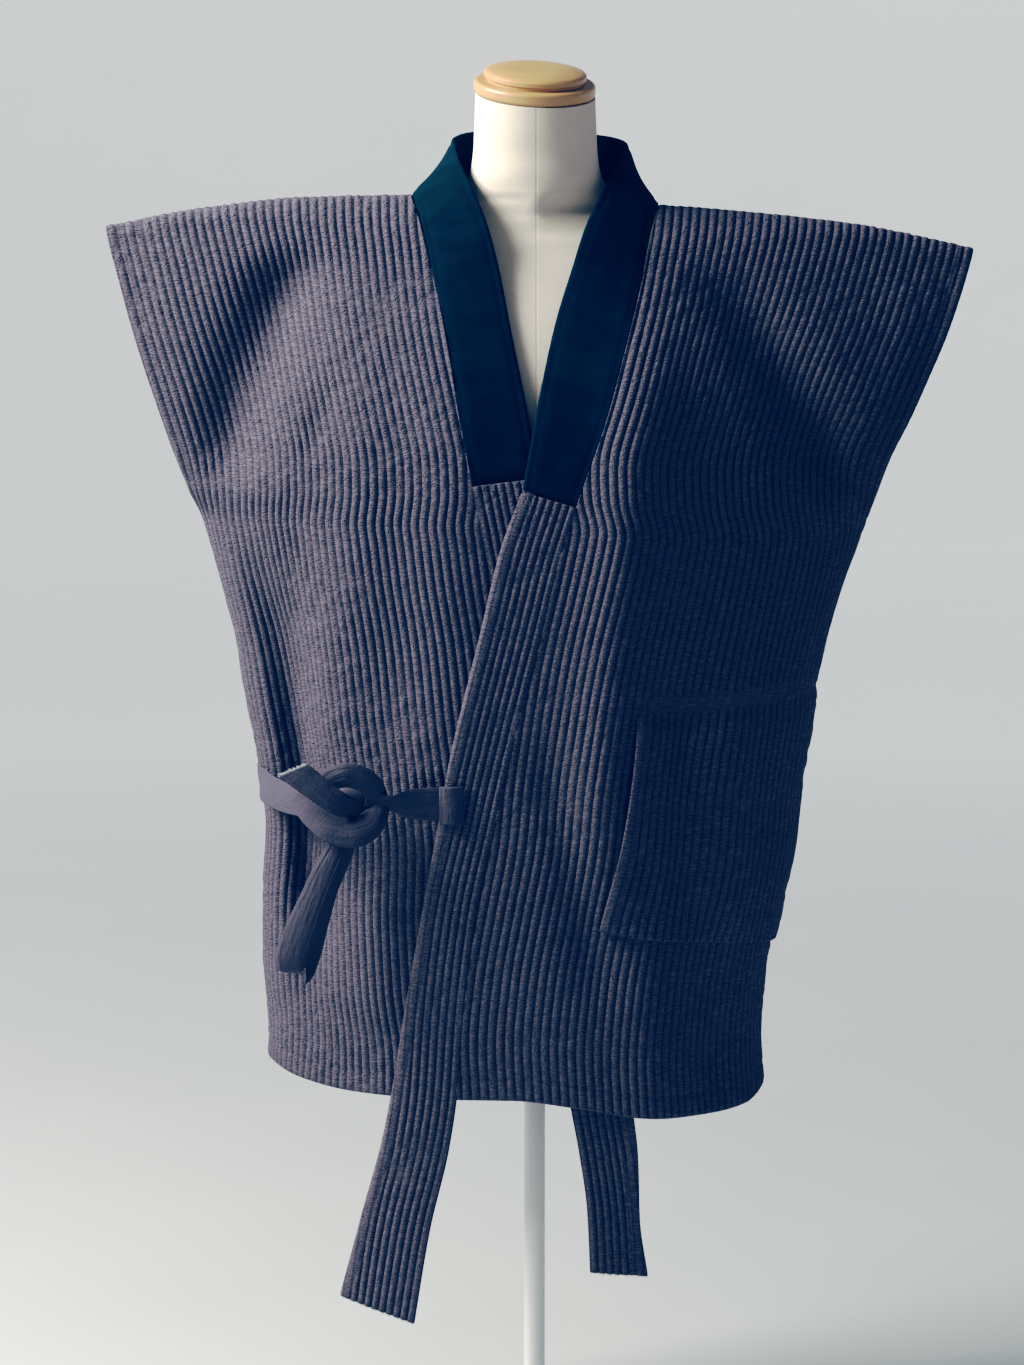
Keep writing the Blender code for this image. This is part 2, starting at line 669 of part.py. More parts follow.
def cut_at(line, axis, value):
    """The point where a line of points passes a value of x (axis 0) or z (axis 2)."""
    order = np.argsort(line[:, axis])
    return np.array([np.interp(value, line[order, axis], line[order, k]) for k in range(3)])


def make_pocket(quilt, panel):
    """The pocket patch is cut from the over front's own points, then moved out by the two walls."""
    reaches = (panel[:, :, 0] > POCKET_STARTS_LEFT_OF) & (panel[:, :, 2] < POCKET_TOP[1][1])
    reaches &= panel[:, :, 2] > POCKET_OPENING[1][0]
    wide = panel[:, reaches.any(axis=0)][:, 1:]
    high = read(POCKET_TOP, "x", "z", wide[:, :, 0])
    low = read(POCKET_BOTTOM, "x", "z", wide[:, :, 0])
    inside = ((wide[:, :, 2] < high - POCKET_ROW_ROOM) & (wide[:, :, 2] > low + POCKET_ROW_ROOM)).all(axis=1)
    rows = np.flatnonzero(inside)
    rows = np.concatenate([[rows[0] - 1], rows, [rows[-1] + 1]])
    count = wide.shape[1]
    trimmed = []
    for row in wide[rows]:
        opening = float(read(POCKET_OPENING, "z", "x", row[-4, 2]))
        least = opening + POCKET_EDGE_STEP * np.arange(count)[::-1]
        beyond = row[:, 0] < least
        trimmed.append([cut_at(row[3:], 0, least[c]) if beyond[c] else row[c] for c in range(count)])
    trimmed = np.array(trimmed)
    columns = []
    for c in range(count):
        line = trimmed[:, c]
        top = cut_at(line, 2, float(read(POCKET_TOP, "x", "z", line[1, 0])))
        bottom = cut_at(line, 2, float(read(POCKET_BOTTOM, "x", "z", line[-2, 0])))
        columns.append([top] + list(line[1:-1]) + [bottom])
    grid = np.array(columns).transpose(1, 0, 2)
    out = normals_of(grid)
    out *= -np.sign(out[2, 5, 1])
    sheet("pocket", grid + out * (QUILT + POCKET_LIFT), QUILT, quilt, (0, -1, 0))


def make_ties(quilt):
    tab_x = float(read(OVER_SEAM, "z", "x", TAB_AT_Z)) - TAB_FROM_SEAM
    x = tab_x + np.linspace(-0.5, 0.5, 3) * TAB_WIDTH
    z = TAB_AT_Z + np.linspace(-0.5, 0.5, 5) * TAB_HEIGHT
    across, up = np.meshgrid(x, z)
    lift = BAND / 2 + STRAP / 2 + TAB_LIFT
    grid = np.stack([across, over_y(across, up) - lift, up], axis=2)
    sheet("tie_tab", grid, STRAP, quilt, (0, -1, 0))
    strap("tie_from_band", TIE_FROM_BAND, STRAP, quilt)
    strap("tie_from_side", TIE_FROM_SIDE, STRAP, quilt)
    strap("tie_end", TIE_END, STRAP, quilt)
    loop = LOOP_FRONT + LOOP_BACK[1:]
    strap("tie_loop", loop, STRAP, quilt, LOOP_STEPS)


def make_knot(quilt):
    """The knot is a rounded lump, the cage of a box smoothed by subdivision."""
    mesh = bpy.data.meshes.new("knot")
    cage = bmesh.new()
    bmesh.ops.create_cube(cage, size=1, matrix=Matrix.Diagonal((*KNOT_SIZE, 1)))
    cage.to_mesh(mesh)
    cage.free()
    mesh.transform(Matrix.Translation(KNOT_AT))
    piece = add("knot", mesh, quilt)
    smooth = piece.modifiers.new("smooth", "SUBSURF")
    smooth.levels = KNOT_LEVELS
    smooth.render_levels = KNOT_LEVELS


def make_form(cover):
    """The covered torso and neck: level rings joined into one closed loft with flat ends."""
    around = np.linspace(0, 2 * np.pi, FORM_POINTS, endpoint=False)
    heights = np.concatenate([np.linspace(low, high, rings) for low, high, rings in FORM_RINGS[1:]])
    mesh = bmesh.new()
    rings = []
    for z in heights:
        left, right, front, back, crown, edge, middle = (
            float(read(FORM, "z", name, z)) for name in FORM[0][1:])
        ring = []
        for angle in around:
            width = left if np.cos(angle) < 0 else right
            depth = front if np.sin(angle) < 0 else back
            share = abs(np.cos(angle))
            x = width * np.cos(angle)
            y = middle + np.sign(np.sin(angle)) * depth * max(1 - share**crown, 0) ** edge
            neck = float(ramp(NECK_STARTS, NECK_TOP[2], z))
            tip = neck * (np.tan(np.radians(NECK_TILT_FORWARD)) * (y - NECK_TOP[1])
                          - np.tan(np.radians(NECK_TILT_RIGHT)) * (x - NECK_TOP[0]))
            ring.append(mesh.verts.new((x, y, z + tip)))
        rings.append(ring)
    for low, high in zip(rings, rings[1:]):
        for k in range(FORM_POINTS):
            after = (k + 1) % FORM_POINTS
            mesh.faces.new((low[k], low[after], high[after], high[k]))
    mesh.faces.new(rings[0][::-1])
    mesh.faces.new(rings[-1])
    data = bpy.data.meshes.new("form_body")
    mesh.to_mesh(data)
    mesh.free()
    add("form_body", data, cover)


def turned(name, profile, finish, steps=48):
    """A turned shape: a profile from the axis round to the axis, spun by a Screw modifier."""
    mesh = bpy.data.meshes.new(name)
    mesh.from_pydata([(r, 0, z) for r, z in profile], [(i, i + 1) for i in range(len(profile) - 1)], [])
    piece = add(name, mesh, finish)
    spin = piece.modifiers.new("spin", "SCREW")
    spin.steps = steps
    spin.render_steps = steps
    spin.use_merge_vertices = True
    spin.merge_threshold = 0.00001
    return piece


def rounded_disc(radius, height, edge, steps=4):
    """The profile of a disc from its top to its bottom with rounded edges."""
    turn = np.linspace(0, np.pi / 2, steps)
    upper = [(radius - edge + edge * np.sin(t), height - edge + edge * np.cos(t)) for t in turn]
    lower = [(radius - edge + edge * np.cos(t), edge - edge * np.sin(t)) for t in turn]
    return [(0.0, height)] + upper + lower + [(0.0, 0.0)]


def make_cap(wood):
    """The neck's turned wooden cap: a wide ring with a smaller disc on it."""
    tilt = Matrix.Rotation(np.radians(NECK_TILT_FORWARD), 4, "X")
    roll = Matrix.Rotation(np.radians(NECK_TILT_RIGHT), 4, "Y")
    place = Matrix.Translation(NECK_TOP) @ tilt @ roll @ Matrix.Translation((0, 0, FORM_CLEAR))
    ring = turned("cap_ring", rounded_disc(CAP_RING_RADIUS, CAP_RING_HEIGHT, CAP_RING_EDGE), wood)
    ring.matrix_world = place
    height = CAP_DISC_HEIGHT
    neck = CAP_DISC_RADIUS - CAP_GROOVE
    crown = [(CAP_DISC_RADIUS * s, height - CAP_DISC_CROWN * s**4) for s in (0.0, 0.4, 0.7, 0.9, 1.0)]
    groove = [(CAP_DISC_RADIUS, CAP_GROOVE + CAP_GROOVE_SLOPE), (neck, CAP_GROOVE), (neck, 0.0), (0.0, 0.0)]
    profile = crown + groove
    disc = turned("cap_disc", profile, wood)
    disc.matrix_world = place @ Matrix.Translation((0, 0, CAP_RING_HEIGHT + FORM_CLEAR))


def make_stand(paint):
    """A steel pole between the form's underside and a round base that stands on the floor."""
    turned("base", rounded_disc(BASE_RADIUS, BASE_HEIGHT, BASE_EDGE), paint)
    low = BASE_HEIGHT + FORM_CLEAR
    high = float(column(FORM, "z")[0]) - FORM_CLEAR
    mesh = bpy.data.meshes.new("pole")
    rod = bmesh.new()
    bmesh.ops.create_cone(rod, cap_ends=True, segments=24, radius1=POLE_RADIUS, radius2=POLE_RADIUS,
                          depth=high - low)
    rod.to_mesh(mesh)
    rod.free()
    mesh.transform(Matrix.Translation((0, 0, (high + low) / 2)))
    add("pole", mesh, paint)


def main():
    for thing in list(bpy.data.objects):
        bpy.data.objects.remove(thing)
    parts = bpy.data.collections.new("sleeveless_samue")
    bpy.context.scene.collection.children.link(parts)
    quilt = material("quilted cotton", CLOTH_COLOUR, 0.9)
    over = make_fronts(quilt)
    make_back(quilt)
    make_bands(quilt)
    make_pocket(quilt, over)
    make_ties(quilt)
    make_knot(quilt)
    make_collar(material("napped collar cloth", COLLAR_COLOUR, 0.95))
    make_form(material("form cover", FORM_COLOUR, 0.9))
    make_cap(material("turned wood", WOOD_COLOUR, 0.45))
    make_stand(material("painted steel", STAND_COLOUR, 0.4))
    bpy.context.view_layer.update()


main()
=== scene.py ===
# %% [markdown]
# # A quilted sleeveless samue on a dress form
# A samue is a work garment that wraps over at the front and ties at the side. This one has no sleeves.
# It is cut from a quilted cotton whose stitched channels run down the cloth, it has a dark napped
# collar cover, two long bands that end in hanging tails, one pocket and a knotted tie. The CAD model
# holds each cut piece as a plain wall in its true place. This lesson makes the cloth that is seen:
# every wall gets its channels, its puckers, its rounded edges and its stitches.

import bmesh
import bpy
import numpy as np
from mathutils import Matrix, Vector


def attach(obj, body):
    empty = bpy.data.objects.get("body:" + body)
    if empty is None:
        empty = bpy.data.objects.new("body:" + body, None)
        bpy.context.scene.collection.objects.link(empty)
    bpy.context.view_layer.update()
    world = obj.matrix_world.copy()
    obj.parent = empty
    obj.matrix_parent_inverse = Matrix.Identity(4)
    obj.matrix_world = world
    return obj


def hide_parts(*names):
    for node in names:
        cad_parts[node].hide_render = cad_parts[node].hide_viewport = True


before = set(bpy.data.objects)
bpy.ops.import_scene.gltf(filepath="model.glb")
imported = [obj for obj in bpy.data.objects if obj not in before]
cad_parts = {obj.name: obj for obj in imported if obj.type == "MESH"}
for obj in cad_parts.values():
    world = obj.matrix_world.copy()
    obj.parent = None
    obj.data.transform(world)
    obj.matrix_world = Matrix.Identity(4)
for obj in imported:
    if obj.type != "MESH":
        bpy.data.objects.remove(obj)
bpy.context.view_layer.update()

print("nodes in the frame:", sorted(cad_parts))

# %% [markdown]
# ## The camera
# The photograph was taken from just above the garment's middle with a long lens, looking eight
# degrees down. The same view is set here first, because every later choice is judged in it.

# %% Camera
CAMERA_AT = (-0.0207, -4.0551, 1.2699)
CAMERA_DOWN = 8.0
LENS = 120.0
lens = bpy.data.cameras.new("camera")
lens.lens = LENS
lens.sensor_width = 36.0
camera = bpy.data.objects.new("camera", lens)
bpy.context.scene.collection.objects.link(camera)
camera.location = CAMERA_AT
camera.rotation_euler = (np.radians(90.0 - CAMERA_DOWN), 0.0, 0.0)
bpy.context.scene.camera = camera
print("camera at", CAMERA_AT, "looking down", CAMERA_DOWN, "degrees")

# %% [markdown]
# ## The garment's own measures
# A pattern cutter works from a few lines: the shoulder, the hem, and level sections that say how wide
# and how deep the garment hangs. The tables below hold those lines in metres, the same ones that the
# CAD model was cut from. A smooth curve is read through each column, so a handful of rows gives the
# whole surface. They could be measured from the CAD walls instead, but a formula can be read at any
# spacing, which the fine channels need.

# %% Tables of the cut
QUILT = 0.003
BAND = 0.0045
COLLAR = 0.003
STRAP = 0.0024
SEAM = 0.0008
LAP = 0.007
SHOULDER = (
    ("x", "z"),
    (-0.380, 1.1080),
    (-0.290, 1.1240),
    (-0.200, 1.1330),
    (-0.111, 1.1345),
    (0.111, 1.1255),
    (0.200, 1.1185),
    (0.290, 1.1080),
    (0.388, 1.0880),
)
HEM = (
    ("x", "z"),
    (-0.243, 0.3620),
    (-0.212, 0.3535),
    (-0.160, 0.3480),
    (-0.020, 0.3470),
    (0.035, 0.3400),
    (0.090, 0.3300),
    (0.160, 0.3250),
    (0.190, 0.3270),
    (0.208, 0.3360),
)
SECTIONS = (
    ("drop", "left", "right", "front", "back", "gape", "crown", "edge"),
    (0.00, 0.3800, 0.3880, 0.036, 0.066, 0.003, 1.80, 1.25),
    (0.02, 0.3755, 0.3825, 0.048, 0.070, 0.008, 1.80, 1.25),
    (0.04, 0.3700, 0.3765, 0.060, 0.074, 0.014, 1.80, 1.25),
    (0.08, 0.3595, 0.3633, 0.081, 0.083, 0.022, 1.80, 1.20),
    (0.12, 0.3480, 0.3475, 0.099, 0.092, 0.028, 1.80, 1.15),
    (0.16, 0.3355, 0.3313, 0.114, 0.097, 0.031, 1.85, 1.05),
    (0.20, 0.3230, 0.3138, 0.125, 0.102, 0.029, 1.90, 0.95),
    (0.24, 0.3095, 0.3010, 0.130, 0.105, 0.017, 2.00, 0.75),
    (0.275, 0.2950, 0.2895, 0.132, 0.106, 0.000, 2.10, 0.60),
    (0.33, 0.2800, 0.2710, 0.132, 0.106, 0.000, 2.20, 0.52),
    (0.38, 0.2685, 0.2580, 0.130, 0.105, 0.000, 2.20, 0.50),
    (0.44, 0.2583, 0.2460, 0.129, 0.105, 0.000, 2.20, 0.50),
    (0.50, 0.2475, 0.2362, 0.129, 0.107, 0.000, 2.20, 0.50),
    (0.56, 0.2408, 0.2295, 0.130, 0.110, 0.000, 2.20, 0.50),
    (0.62, 0.2442, 0.2182, 0.130, 0.113, 0.000, 2.20, 0.50),
    (0.68, 0.2445, 0.2080, 0.129, 0.116, 0.000, 2.20, 0.50),
    (0.74, 0.2400, 0.2035, 0.127, 0.118, 0.000, 2.20, 0.50),
    (0.80, 0.2425, 0.2075, 0.125, 0.120, 0.000, 2.20, 0.50),
    (1.02, 0.2425, 0.2075, 0.112, 0.120, 0.000, 2.20, 0.50),
)
UNDER_SEAM = (
    ("z", "x"),
    (0.180, 0.0490),
    (0.243, 0.0459),
    (0.296, 0.0387),
    (0.344, 0.0300),
    (0.560, -0.0030),
    (0.798, -0.0380),
    (0.892, -0.0560),
    (0.945, -0.0665),
    (1.012, -0.0780),
    (1.060, -0.0885),
    (1.095, -0.0975),
    (1.120, -0.1050),
    (1.1345, -0.1110),
)
OVER_SEAM = (
    ("z", "x"),
    (0.130, -0.1090),
    (0.226, -0.0933),
    (0.300, -0.0765),
    (0.351, -0.0690),
    (0.420, -0.0640),
    (0.513, -0.0525),
    (0.588, -0.0364),
    (0.651, -0.0225),
    (0.753, 0.0030),
    (0.825, 0.0209),
    (0.874, 0.0364),
    (0.944, 0.0615),
    (1.003, 0.0781),
    (1.050, 0.0905),
    (1.083, 0.0985),
    (1.110, 0.1055),
    (1.1255, 0.1110),
)
UNDER_BAND = (
    ("seam_z", "free_x", "free_z"),
    (0.8895, -0.0010, 0.8960),
    (0.798, 0.0140, 0.8040),
    (0.560, 0.0500, 0.5640),
    (0.344, 0.0840, 0.3400),
    (0.296, 0.0895, 0.2900),
    (0.243, 0.0915, 0.2330),
    (0.186, 0.0990, 0.1800),
)
OVER_BAND = (
    ("seam_z", "free_x", "free_z"),
    (0.8715, -0.0108, 0.8850),
    (0.825, -0.0294, 0.8340),
    (0.753, -0.0468, 0.7620),
    (0.651, -0.0725, 0.6560),
    (0.588, -0.0840, 0.5920),
    (0.513, -0.0978, 0.5160),
    (0.420, -0.1140, 0.4240),
    (0.351, -0.1247, 0.3560),
    (0.300, -0.1345, 0.3060),
    (0.226, -0.1530, 0.2360),
    (0.138, -0.1733, 0.1580),
)
NAPE = (
    ("x", "z"),
    (-0.1110, 1.1340),
    (-0.0960, 1.1300),
    (-0.0560, 1.1210),
    (0.0000, 1.1160),
    (0.0560, 1.1170),
    (0.0960, 1.1230),
    (0.1110, 1.1250),
)
print("length of the back:", round(SHOULDER[4][1] - HEM[4][1], 3), "m")

# %% [markdown]
# ## Folds
# Worn cloth hangs in a few long folds: it sinks under the shoulder wings, rounds over the chest and
# breaks in a deep trough above the left hem. Each fold is a soft ridge or trough along a line, with
# its own length, width and depth. Simulated cloth would fold where it likes. Folds placed one by one
# stand where the photograph shows them, and those of the hidden back are of the same kind.

# %% Folds
FRONT_FOLDS = (
    ("x_top", "z_top", "x_bottom", "z_bottom", "bow", "width", "depth"),
    (-0.205, 1.110, -0.302, 0.850, 0.010, 0.034, -0.017),
    (-0.345, 1.100, -0.330, 0.860, 0.000, 0.026, 0.007),
    (-0.090, 1.100, -0.090, 0.560, 0.012, 0.036, 0.006),
    (-0.272, 0.880, -0.200, 0.400, 0.018, 0.028, -0.030),
    (-0.105, 0.760, -0.115, 0.200, 0.000, 0.045, 0.007),
    (0.108, 1.100, 0.052, 0.480, -0.010, 0.030, 0.012),
    (0.138, 1.100, 0.285, 0.840, 0.012, 0.034, -0.017),
    (0.345, 1.090, 0.322, 0.860, 0.000, 0.026, 0.007),
    (0.118, 0.760, 0.120, 0.470, 0.004, 0.018, -0.007),
    (0.172, 0.820, 0.160, 0.420, 0.006, 0.022, 0.006),
    (0.004, 0.700, 0.062, 0.400, 0.000, 0.022, -0.006),
    (0.092, 0.520, 0.112, 0.200, 0.000, 0.026, 0.006),
    (0.150, 0.540, 0.152, 0.300, 0.000, 0.018, -0.006),
    (-0.212, 0.900, -0.204, 0.360, 0.000, 0.019, -0.010),
    (-0.248, 0.760, -0.238, 0.360, 0.000, 0.010, 0.005),
    (-0.190, 1.130, -0.335, 0.850, 0.000, 0.034, -0.010),
    (-0.150, 1.060, -0.178, 0.600, 0.006, 0.030, 0.005),
    (-0.176, 0.980, -0.205, 0.900, 0.000, 0.011, -0.003),
)
BACK_FOLDS = (
    ("x_top", "z_top", "x_bottom", "z_bottom", "bow", "width", "depth"),
    (-0.200, 1.110, -0.290, 0.840, 0.010, 0.034, -0.016),
    (0.196, 1.100, 0.276, 0.840, -0.010, 0.032, -0.015),
    (-0.140, 0.960, -0.170, 0.200, 0.010, 0.040, 0.009),
    (-0.060, 0.880, -0.070, 0.200, 0.000, 0.034, -0.010),
    (0.030, 0.980, 0.020, 0.200, 0.008, 0.036, 0.007),
    (0.105, 0.860, 0.095, 0.200, 0.000, 0.030, -0.011),
    (0.160, 0.920, 0.150, 0.200, 0.000, 0.030, 0.006),
)


NO_FOLDS = FRONT_FOLDS[:1]


def column(table, name):
    """One named column of a table, as numbers."""
    place = table[0].index(name)
    return np.array([row[place] for row in table[1:]], float)


def read(table, known, wanted, at):
    """Reads one column where another has the given values, along a smooth curve with no overshoot."""
    xs = column(table, known)
    ys = column(table, wanted)
    step = np.diff(xs)
    slope = np.diff(ys) / step
    lean = np.zeros(len(xs))
    lean[0] = slope[0]
    lean[-1] = slope[-1]
    same = slope[:-1] * slope[1:] > 0
    both = np.where(same, slope[:-1] + slope[1:], 1.0)
    lean[1:-1] = np.where(same, 2 * slope[:-1] * slope[1:] / both, 0.0)
    at = np.clip(np.asarray(at, float), xs[0], xs[-1])
    i = np.clip(np.searchsorted(xs, at) - 1, 0, len(step) - 1)
    t = (at - xs[i]) / step[i]
    rise = t * t * (3 - 2 * t)
    bend = t * (1 - t) ** 2 * step[i] * lean[i] - t * t * (1 - t) * step[i] * lean[i + 1]
    return ys[i] + (ys[i + 1] - ys[i]) * rise + bend


def ramp(low, high, at):
    """0 below low, 1 above high and a smooth rise between them."""
    t = np.clip((np.asarray(at, float) - low) / (high - low), 0, 1)
    return t * t * (3 - 2 * t)


def shoulder_z(x):
    return read(SHOULDER, "x", "z", x)


def half_width(x, drop):
    left = read(SECTIONS, "drop", "left", drop)
    right = read(SECTIONS, "drop", "right", drop)
    return np.where(np.asarray(x) < 0, left, right)


def folds(table, x, z, share):
    """How far all folds of a table move a point outwards."""
    total = np.zeros(np.broadcast(x, z).shape)
    for x_top, z_top, x_bottom, z_bottom, bow, width, depth in table[1:]:
        along = (z_top - z) / (z_top - z_bottom)
        middle = x_top + (x_bottom - x_top) * along + bow * 4 * along * (1 - along)
        fade = ramp(0, 0.28, along) * (1 - ramp(0.72, 1, along))
        total = total + depth * fade * np.exp(-(((x - middle) / width) ** 2))
    drop = shoulder_z(x) - z
    return total * ramp(0, 0.07, drop) * (1 - ramp(0.80, 1.0, share))


def depth_at(x, z, wanted, table):
    """Distance of the front or back from the plane of the side seams."""
    drop = np.maximum(shoulder_z(x) - z, 0)
    share = np.clip(np.abs(x) / half_width(x, drop), 0, 1)
    middle = read(SECTIONS, "drop", wanted, drop)
    gape = read(SECTIONS, "drop", "gape", drop) + SEAM / 2
    crown = read(SECTIONS, "drop", "crown", drop)
    edge = read(SECTIONS, "drop", "edge", drop)
    depth = gape + (middle - gape) * (1 - share**crown) ** edge + folds(table, x, z, share)
    radius = 0.030 - 0.021 * ramp(0.12, 0.30, np.abs(x))
    inside = 1 - np.clip(drop / radius, 0, 1)
    roll = np.sqrt(np.maximum(1 - inside**2, 0))
    return np.maximum(depth, SEAM / 2) * roll + SEAM / 2 * (1 - roll)


def front_y(x, z):
    return -depth_at(x, z, "front", FRONT_FOLDS)


def back_y(x, z):
    return depth_at(x, z, "back", BACK_FOLDS)


def over_y(x, z):
    """The over front lies in front of the under front where they lap."""
    low = 1 - ramp(0.965, 1.045, z)
    near = 1 - ramp(0.10, 0.185, x)
    return front_y(x, z) - LAP * low * near


print("depth at the chest, front and back:", round(float(front_y(0, 0.85)), 4), round(float(back_y(0, 0.85)), 4))

# %% [markdown]
# ## Quilting
# Two layers of cotton with a thin filling are stitched in straight lines about 8 mm apart. Between
# two lines the filling stands up as a rounded channel, and the stitches pull small creases across it.
# This could be a bump map, but then the outline and the shoulder edge would stay flat. Here the relief
# moves the mesh itself. It is worked out from two cloth coordinates: u runs across the channels and v
# along them, both in metres of cloth.

# %% Relief of the quilted cloth
CHANNEL = 0.0079
CREST = 0.0023
CREST_SINKS = 0.0012


def soft_noise(a, b, seed):
    """Smooth noise from -1 to 1 with one bump per unit of a and b."""
    size = 256
    grid = np.random.default_rng(seed).uniform(-1, 1, (size, size))
    i = np.floor(a).astype(int)
    j = np.floor(b).astype(int)
    s = a - i
    t = b - j
    s = s * s * (3 - 2 * s)
    t = t * t * (3 - 2 * t)
    low = grid[i % size, j % size] * (1 - s) + grid[(i + 1) % size, j % size] * s
    high = grid[i % size, (j + 1) % size] * (1 - s) + grid[(i + 1) % size, (j + 1) % size] * s
    return low * (1 - t) + high * t


def creases(u, v, seed, angle, length, spacing):
    """Narrow dips that run across the channels at an angle."""
    turn = np.radians(angle)
    along = u * np.cos(turn) + v * np.sin(turn)
    across = v * np.cos(turn) - u * np.sin(turn)
    wander = soft_noise(along / length, across / spacing, seed)
    strength = ramp(-0.2, 0.7, soft_noise(u / 0.07, v / 0.05, seed + 5))
    return np.exp(-((wander / 0.33) ** 2)) * strength


def quilting(u, v, seed, pitch=CHANNEL):
    """Height of the quilted face above its middle layer of stitches."""
    number = np.floor(u / pitch)
    share = u / pitch - number
    ridge = np.sin(np.pi * np.clip(share, 0, 1)) ** 0.62
    pulls = 0.46 * creases(u, v, seed, -32, 0.026, 0.0075) + 0.30 * creases(u, v, seed + 9, 36, 0.024, 0.0095)
    uneven = 0.16 * soft_noise(number * 3.7 + 0.5, v / 0.009, seed + 2)
    return CREST * ridge * (1 - pulls + uneven) - CREST_SINKS


sample = quilting(np.linspace(0, 0.05, 200), np.full(200, 0.5), 3)
print("quilting from", round(float(sample.min()) * 1000, 2), "to", round(float(sample.max()) * 1000, 2), "mm")

# %% [markdown]
# ## A shell with two faces
# A piece of cloth is closed: a fine outer face, a plainer inner face and a rounded edge between them.
# Solidify would give both faces the same fineness, which doubles the triangles for nothing, so the
# faces are made apart. The outer columns follow the channels, and they stop exactly at the edge of the
# cut. The inner face has only every few rows, and the rim joins each outer edge point to the nearest
# inner one.

# %% Build a closed piece of cloth
REST = bpy.context.scene.collection


def new_piece(name, points, faces, uv, finish):
    """A smooth, closed mesh at the origin with its cloth coordinates as a UV map in metres."""
    mesh = bpy.data.meshes.new(name)
    mesh.from_pydata(points.tolist(), [], faces)
    mesh.materials.append(finish)
    layer = mesh.uv_layers.new(name="cloth")
    corner = np.zeros(len(mesh.loops), np.int32)
    mesh.loops.foreach_get("vertex_index", corner)
    layer.data.foreach_set("uv", np.asarray(uv, np.float32)[corner].ravel())
    work = bmesh.new()
    work.from_mesh(mesh)
    bmesh.ops.recalc_face_normals(work, faces=work.faces)
    work.to_mesh(mesh)
    work.free()
    mesh.shade_smooth()
    piece = bpy.data.objects.new(name, mesh)
    REST.objects.link(piece)
    triangles = sum(len(p.vertices) - 2 for p in mesh.polygons)
    print(name, "has", triangles, "triangles")
    return piece


def unit(vectors):
    return vectors / np.maximum(np.linalg.norm(vectors, axis=-1, keepdims=True), 1e-12)


def outline_of(rows, columns):
    """Row and column numbers once round the edge of a grid."""
    top = [(0, c) for c in range(columns)]
    right = [(r, columns - 1) for r in range(1, rows)]
    bottom = [(rows - 1, c) for c in range(columns - 2, -1, -1)]
    left = [(r, 0) for r in range(rows - 2, 0, -1)]
    return top + right + bottom + left


def push_at(rolls, on_edges, point):
    """How far the rim is rounded outwards at a point that lies on some of the four edges."""
    pushes = [roll(point) if callable(roll) else roll for roll, on in zip(rolls, on_edges) if on]
    return max(pushes)


